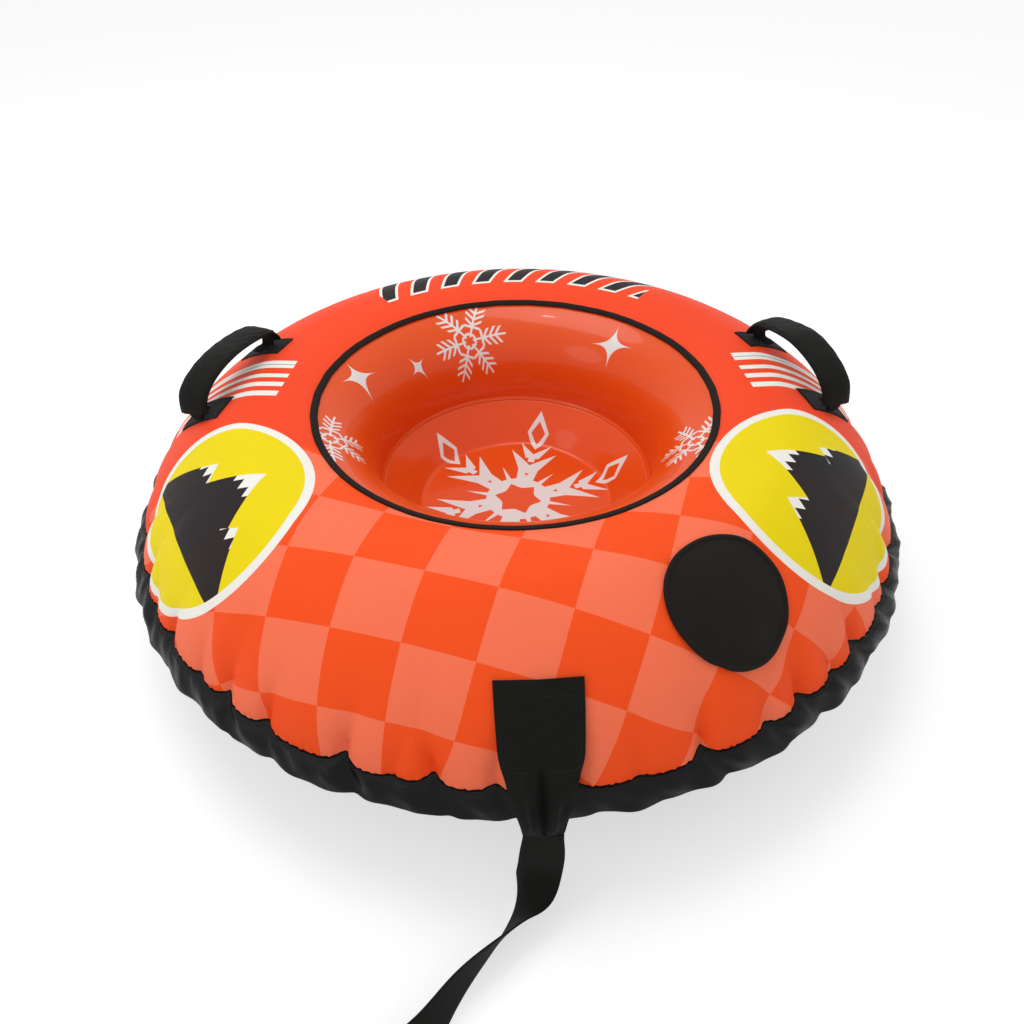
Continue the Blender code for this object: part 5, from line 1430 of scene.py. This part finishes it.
# %% Webbings, patches and tabs
PATCH_LONG, PATCH_WIDE, PATCH_INSET = 0.042, 0.066, 0.0036
PATCH_STARTS = {-1: HANDLE_HALF + 0.001, 1: HANDLE_HALF + 0.011}
TAB_FOOT, NOSE_RADIUS, HANDLE_WEBBING, HEM_LIFT = 0.024, 0.009, 0.025, 0.0017


def patch_grid(handle, end):
    """A patch on the cover: two layers of a grid, thicker where the hem is turned under."""
    share = np.concatenate([[0.0, 0.012], np.linspace(0.05, 0.95, 19), [0.988, 1.0]])
    down = end * (PATCH_STARTS[end] - PATCH_LONG * share)[:, None]
    aside = PATCH_WIDE * (share - 0.5)[None, :]
    nearer = np.minimum(share, 1 - share)
    edge = np.minimum(nearer[:, None] * PATCH_LONG, nearer[None, :] * PATCH_WIDE)
    hem = 0.0009 * np.clip(edge / 0.0008, 0, 1) * (1 + 0.7 * np.clip((0.0065 - edge) / 0.0012, 0, 1))
    upper, lower = (handle.on_cloth(down, aside, GAP + lift) for lift in (hem, 0 * hem))
    return two_faces(upper, lower, spread(PATCH_WIDE * share, PATCH_LONG * share[:, None]))


for name in HANDLES:
    handle = Handle(name)
    along, up = handle.arch(np.linspace(0, math.pi, 90))
    nose = np.radians(np.linspace(-75, 0, 6))
    nose_up, nose_width = NOSE_RADIUS * np.sin(nose), 2 * NOSE_RADIUS * np.cos(nose)
    along = np.concatenate([np.full(6, -HANDLE_HALF), along, np.full(6, HANDLE_HALF)])
    up = np.concatenate([nose_up, up, nose_up[::-1]])
    width = np.concatenate([nose_width, np.full(90, HANDLE_WEBBING), nose_width[::-1]])
    line = handle.at(along, 0.0, up)
    wide = np.broadcast_to(handle.out * handle.mirror, line.shape)
    surface(name + "_handle_strap", name + "_handle_webbing",
            strap_rings(line, wide, width, 2 * WEBBING_HALF), strap_layout(line, HANDLE_WEBBING),
            webbing_finish, "black_webbing", name + "_handle")
    for place, end in (("front", -1), ("rear", 1)):
        grid, layout = patch_grid(handle, end)
        if handle.side * end < 0:
            grid = grid[:, ::-1]
        surface(f"{name}_{place}_sewn_patch", f"{name}_{place}_patch", grid, layout, patch_finish,
                "padded_cloth")
        first, last = PATCH_STARTS[end] - PATCH_INSET, PATCH_STARTS[end] - PATCH_LONG + PATCH_INSET
        corners = [(first, -1), (first, 1), (last, 1), (last, -1), (first, -1)]
        corner_line = np.array([(end * far, hand * (PATCH_WIDE / 2 - PATCH_INSET)) for far, hand in corners])
        reach = lengths_along(corner_line)
        steps = np.linspace(0, reach[-1], 120)
        far, aside = read_off(steps, reach, corner_line).T
        stitches = handle.on_cloth(far, aside, GAP + HEM_LIFT)
        above = handle.on_cloth(far, aside, GAP + 0.0100) - stitches
        seam(f"{name}_{place}_patch_seam", stitches, above)
        near = HANDLE_HALF - 2 * WEBBING_HALF - GAP
        along_foot = end * np.array((near - TAB_FOOT, near - TAB_FOOT / 2, near - 0.003))
        foot = handle.on_cloth(along_foot, 0.0, 0.0025)
        rise = handle.at(end * near, 0.0, NOSE_RADIUS * np.sin(np.radians((0, 35, 70))))
        tab_width = 2 * NOSE_RADIUS * np.array((1.0, 1.0, 1.0, 1.0, 0.82, 0.36))
        route = smooth_path(np.column_stack([np.concatenate([foot, rise]), tab_width]), 36)
        wide = np.broadcast_to(handle.out * handle.mirror, (36, 3))
        surface(f"{name}_{place}_sewn_tab", f"{name}_{place}_tab",
                strap_rings(route[:, :3], wide, route[:, 3], 2 * WEBBING_HALF),
                strap_layout(route[:, :3], 2 * NOSE_RADIUS), webbing_finish, "black_webbing")
print("handle patches and tabs made")

# %% [markdown]
# ## The valve
#
# Under the flap the cloth has a round hole. In it stands a short plastic neck, whose flange is
# welded to the film, with a rubber diaphragm inside and a cap that turns. These are moulded parts
# whose CAD shapes are right, so they stay and only get their finishes. The hole is cut last, with a
# drill as wide as the hole that is taken away from the cloth and from the film.

# %% Moulded finishes
valve_plastic = Finish("valve_plastic", ink(40, 41, 43), 0.42, Specular_IOR_Level=0.45)
vector, _ = valve_plastic.coordinates()
grain = valve_plastic.noise(vector, 900.0, 2.0)
scuff = valve_plastic.noise(vector, 70.0, 3.0)
worn = (scuff - 0.45).most(0.0) * 1.2
valve_plastic.feed("Base Color", valve_plastic.mixed(ink(34, 35, 37), ink(58, 58, 60), worn))
valve_plastic.feed("Roughness", scuff * 0.22 + 0.32)
valve_plastic.relief(grain * 0.7 + scuff * 0.3, 0.00012)
valve_rubber = Finish("valve_rubber", ink(70, 68, 64), 0.72, Specular_IOR_Level=0.3)
vector, _ = valve_rubber.coordinates()
bloom = valve_rubber.noise(vector, 240.0, 3.0)
valve_rubber.feed("Base Color", valve_rubber.mixed(ink(58, 57, 54), ink(92, 90, 84), bloom))
valve_rubber.relief(bloom, 0.0001)
moulded = {"valve_body": valve_plastic, "valve_cap": valve_plastic, "valve_diaphragm": valve_rubber}
for name, finish in moulded.items():
    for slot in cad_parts[name].material_slots:
        slot.material = finish.material
print("moulded:", list(moulded))

# %% Hole at the valve
HOLE_RADIUS, FILM_HOLE_RADIUS, DRILL_DEPTH = 0.034, 0.0123, 0.012
valve_place = on_cover(valve_at, VALVE_ANGLE)
_, _, out, up = on_section(COVER, valve_at)
valve_normal = np.array([out * math.cos(VALVE_ANGLE), out * math.sin(VALVE_ANGLE), up])


def drilled(sheet, radius):
    """Takes a cylinder along the valve's axis away from a sheet, and keeps the rest as its mesh."""
    turn, _ = turns(96)
    across = np.array([-math.sin(VALVE_ANGLE), math.cos(VALVE_ANGLE), 0.0])
    down = np.cross(across, valve_normal)
    ring = valve_place + radius * (np.cos(turn)[:, None] * down + np.sin(turn)[:, None] * across)
    points = np.concatenate([ring + valve_normal * DRILL_DEPTH, ring - valve_normal * DRILL_DEPTH])
    k = np.arange(96)
    sides = np.stack([k, (k + 1) % 96, 96 + (k + 1) % 96, 96 + k], -1).tolist()
    mesh = outward_mesh("drill", points, sides + [k.tolist(), (96 + k[::-1]).tolist()])
    mesh.shade_flat()
    drill = linked("drill", mesh)
    cut = sheet.modifiers.new("hole", "BOOLEAN")
    cut.object, cut.operation, cut.solver = drill, "DIFFERENCE", "EXACT"
    shape = bpy.data.meshes.new_from_object(sheet.evaluated_get(bpy.context.evaluated_depsgraph_get()))
    sheet.modifiers.clear()
    sheet.data = shape
    bpy.data.objects.remove(drill)
    bpy.data.meshes.remove(mesh)
    return len(shape.polygons)


print("cover with its hole:", drilled(cover, HOLE_RADIUS), "faces")
print("film with its hole:", drilled(top_panel, FILM_HOLE_RADIUS), "faces")

# %% [markdown]
# ## The sizes
#
# Both the dressed model's box and the CAD model's box are measured, and how far the one stands out
# from the other is printed.

# %% Sizes
visual_box = [list(corner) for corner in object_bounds()]
past = [[round(abs(v - c), 4) for v, c in zip(*pair)] for pair in zip(visual_box, cad_box)]
print("stands out by", past, "m")
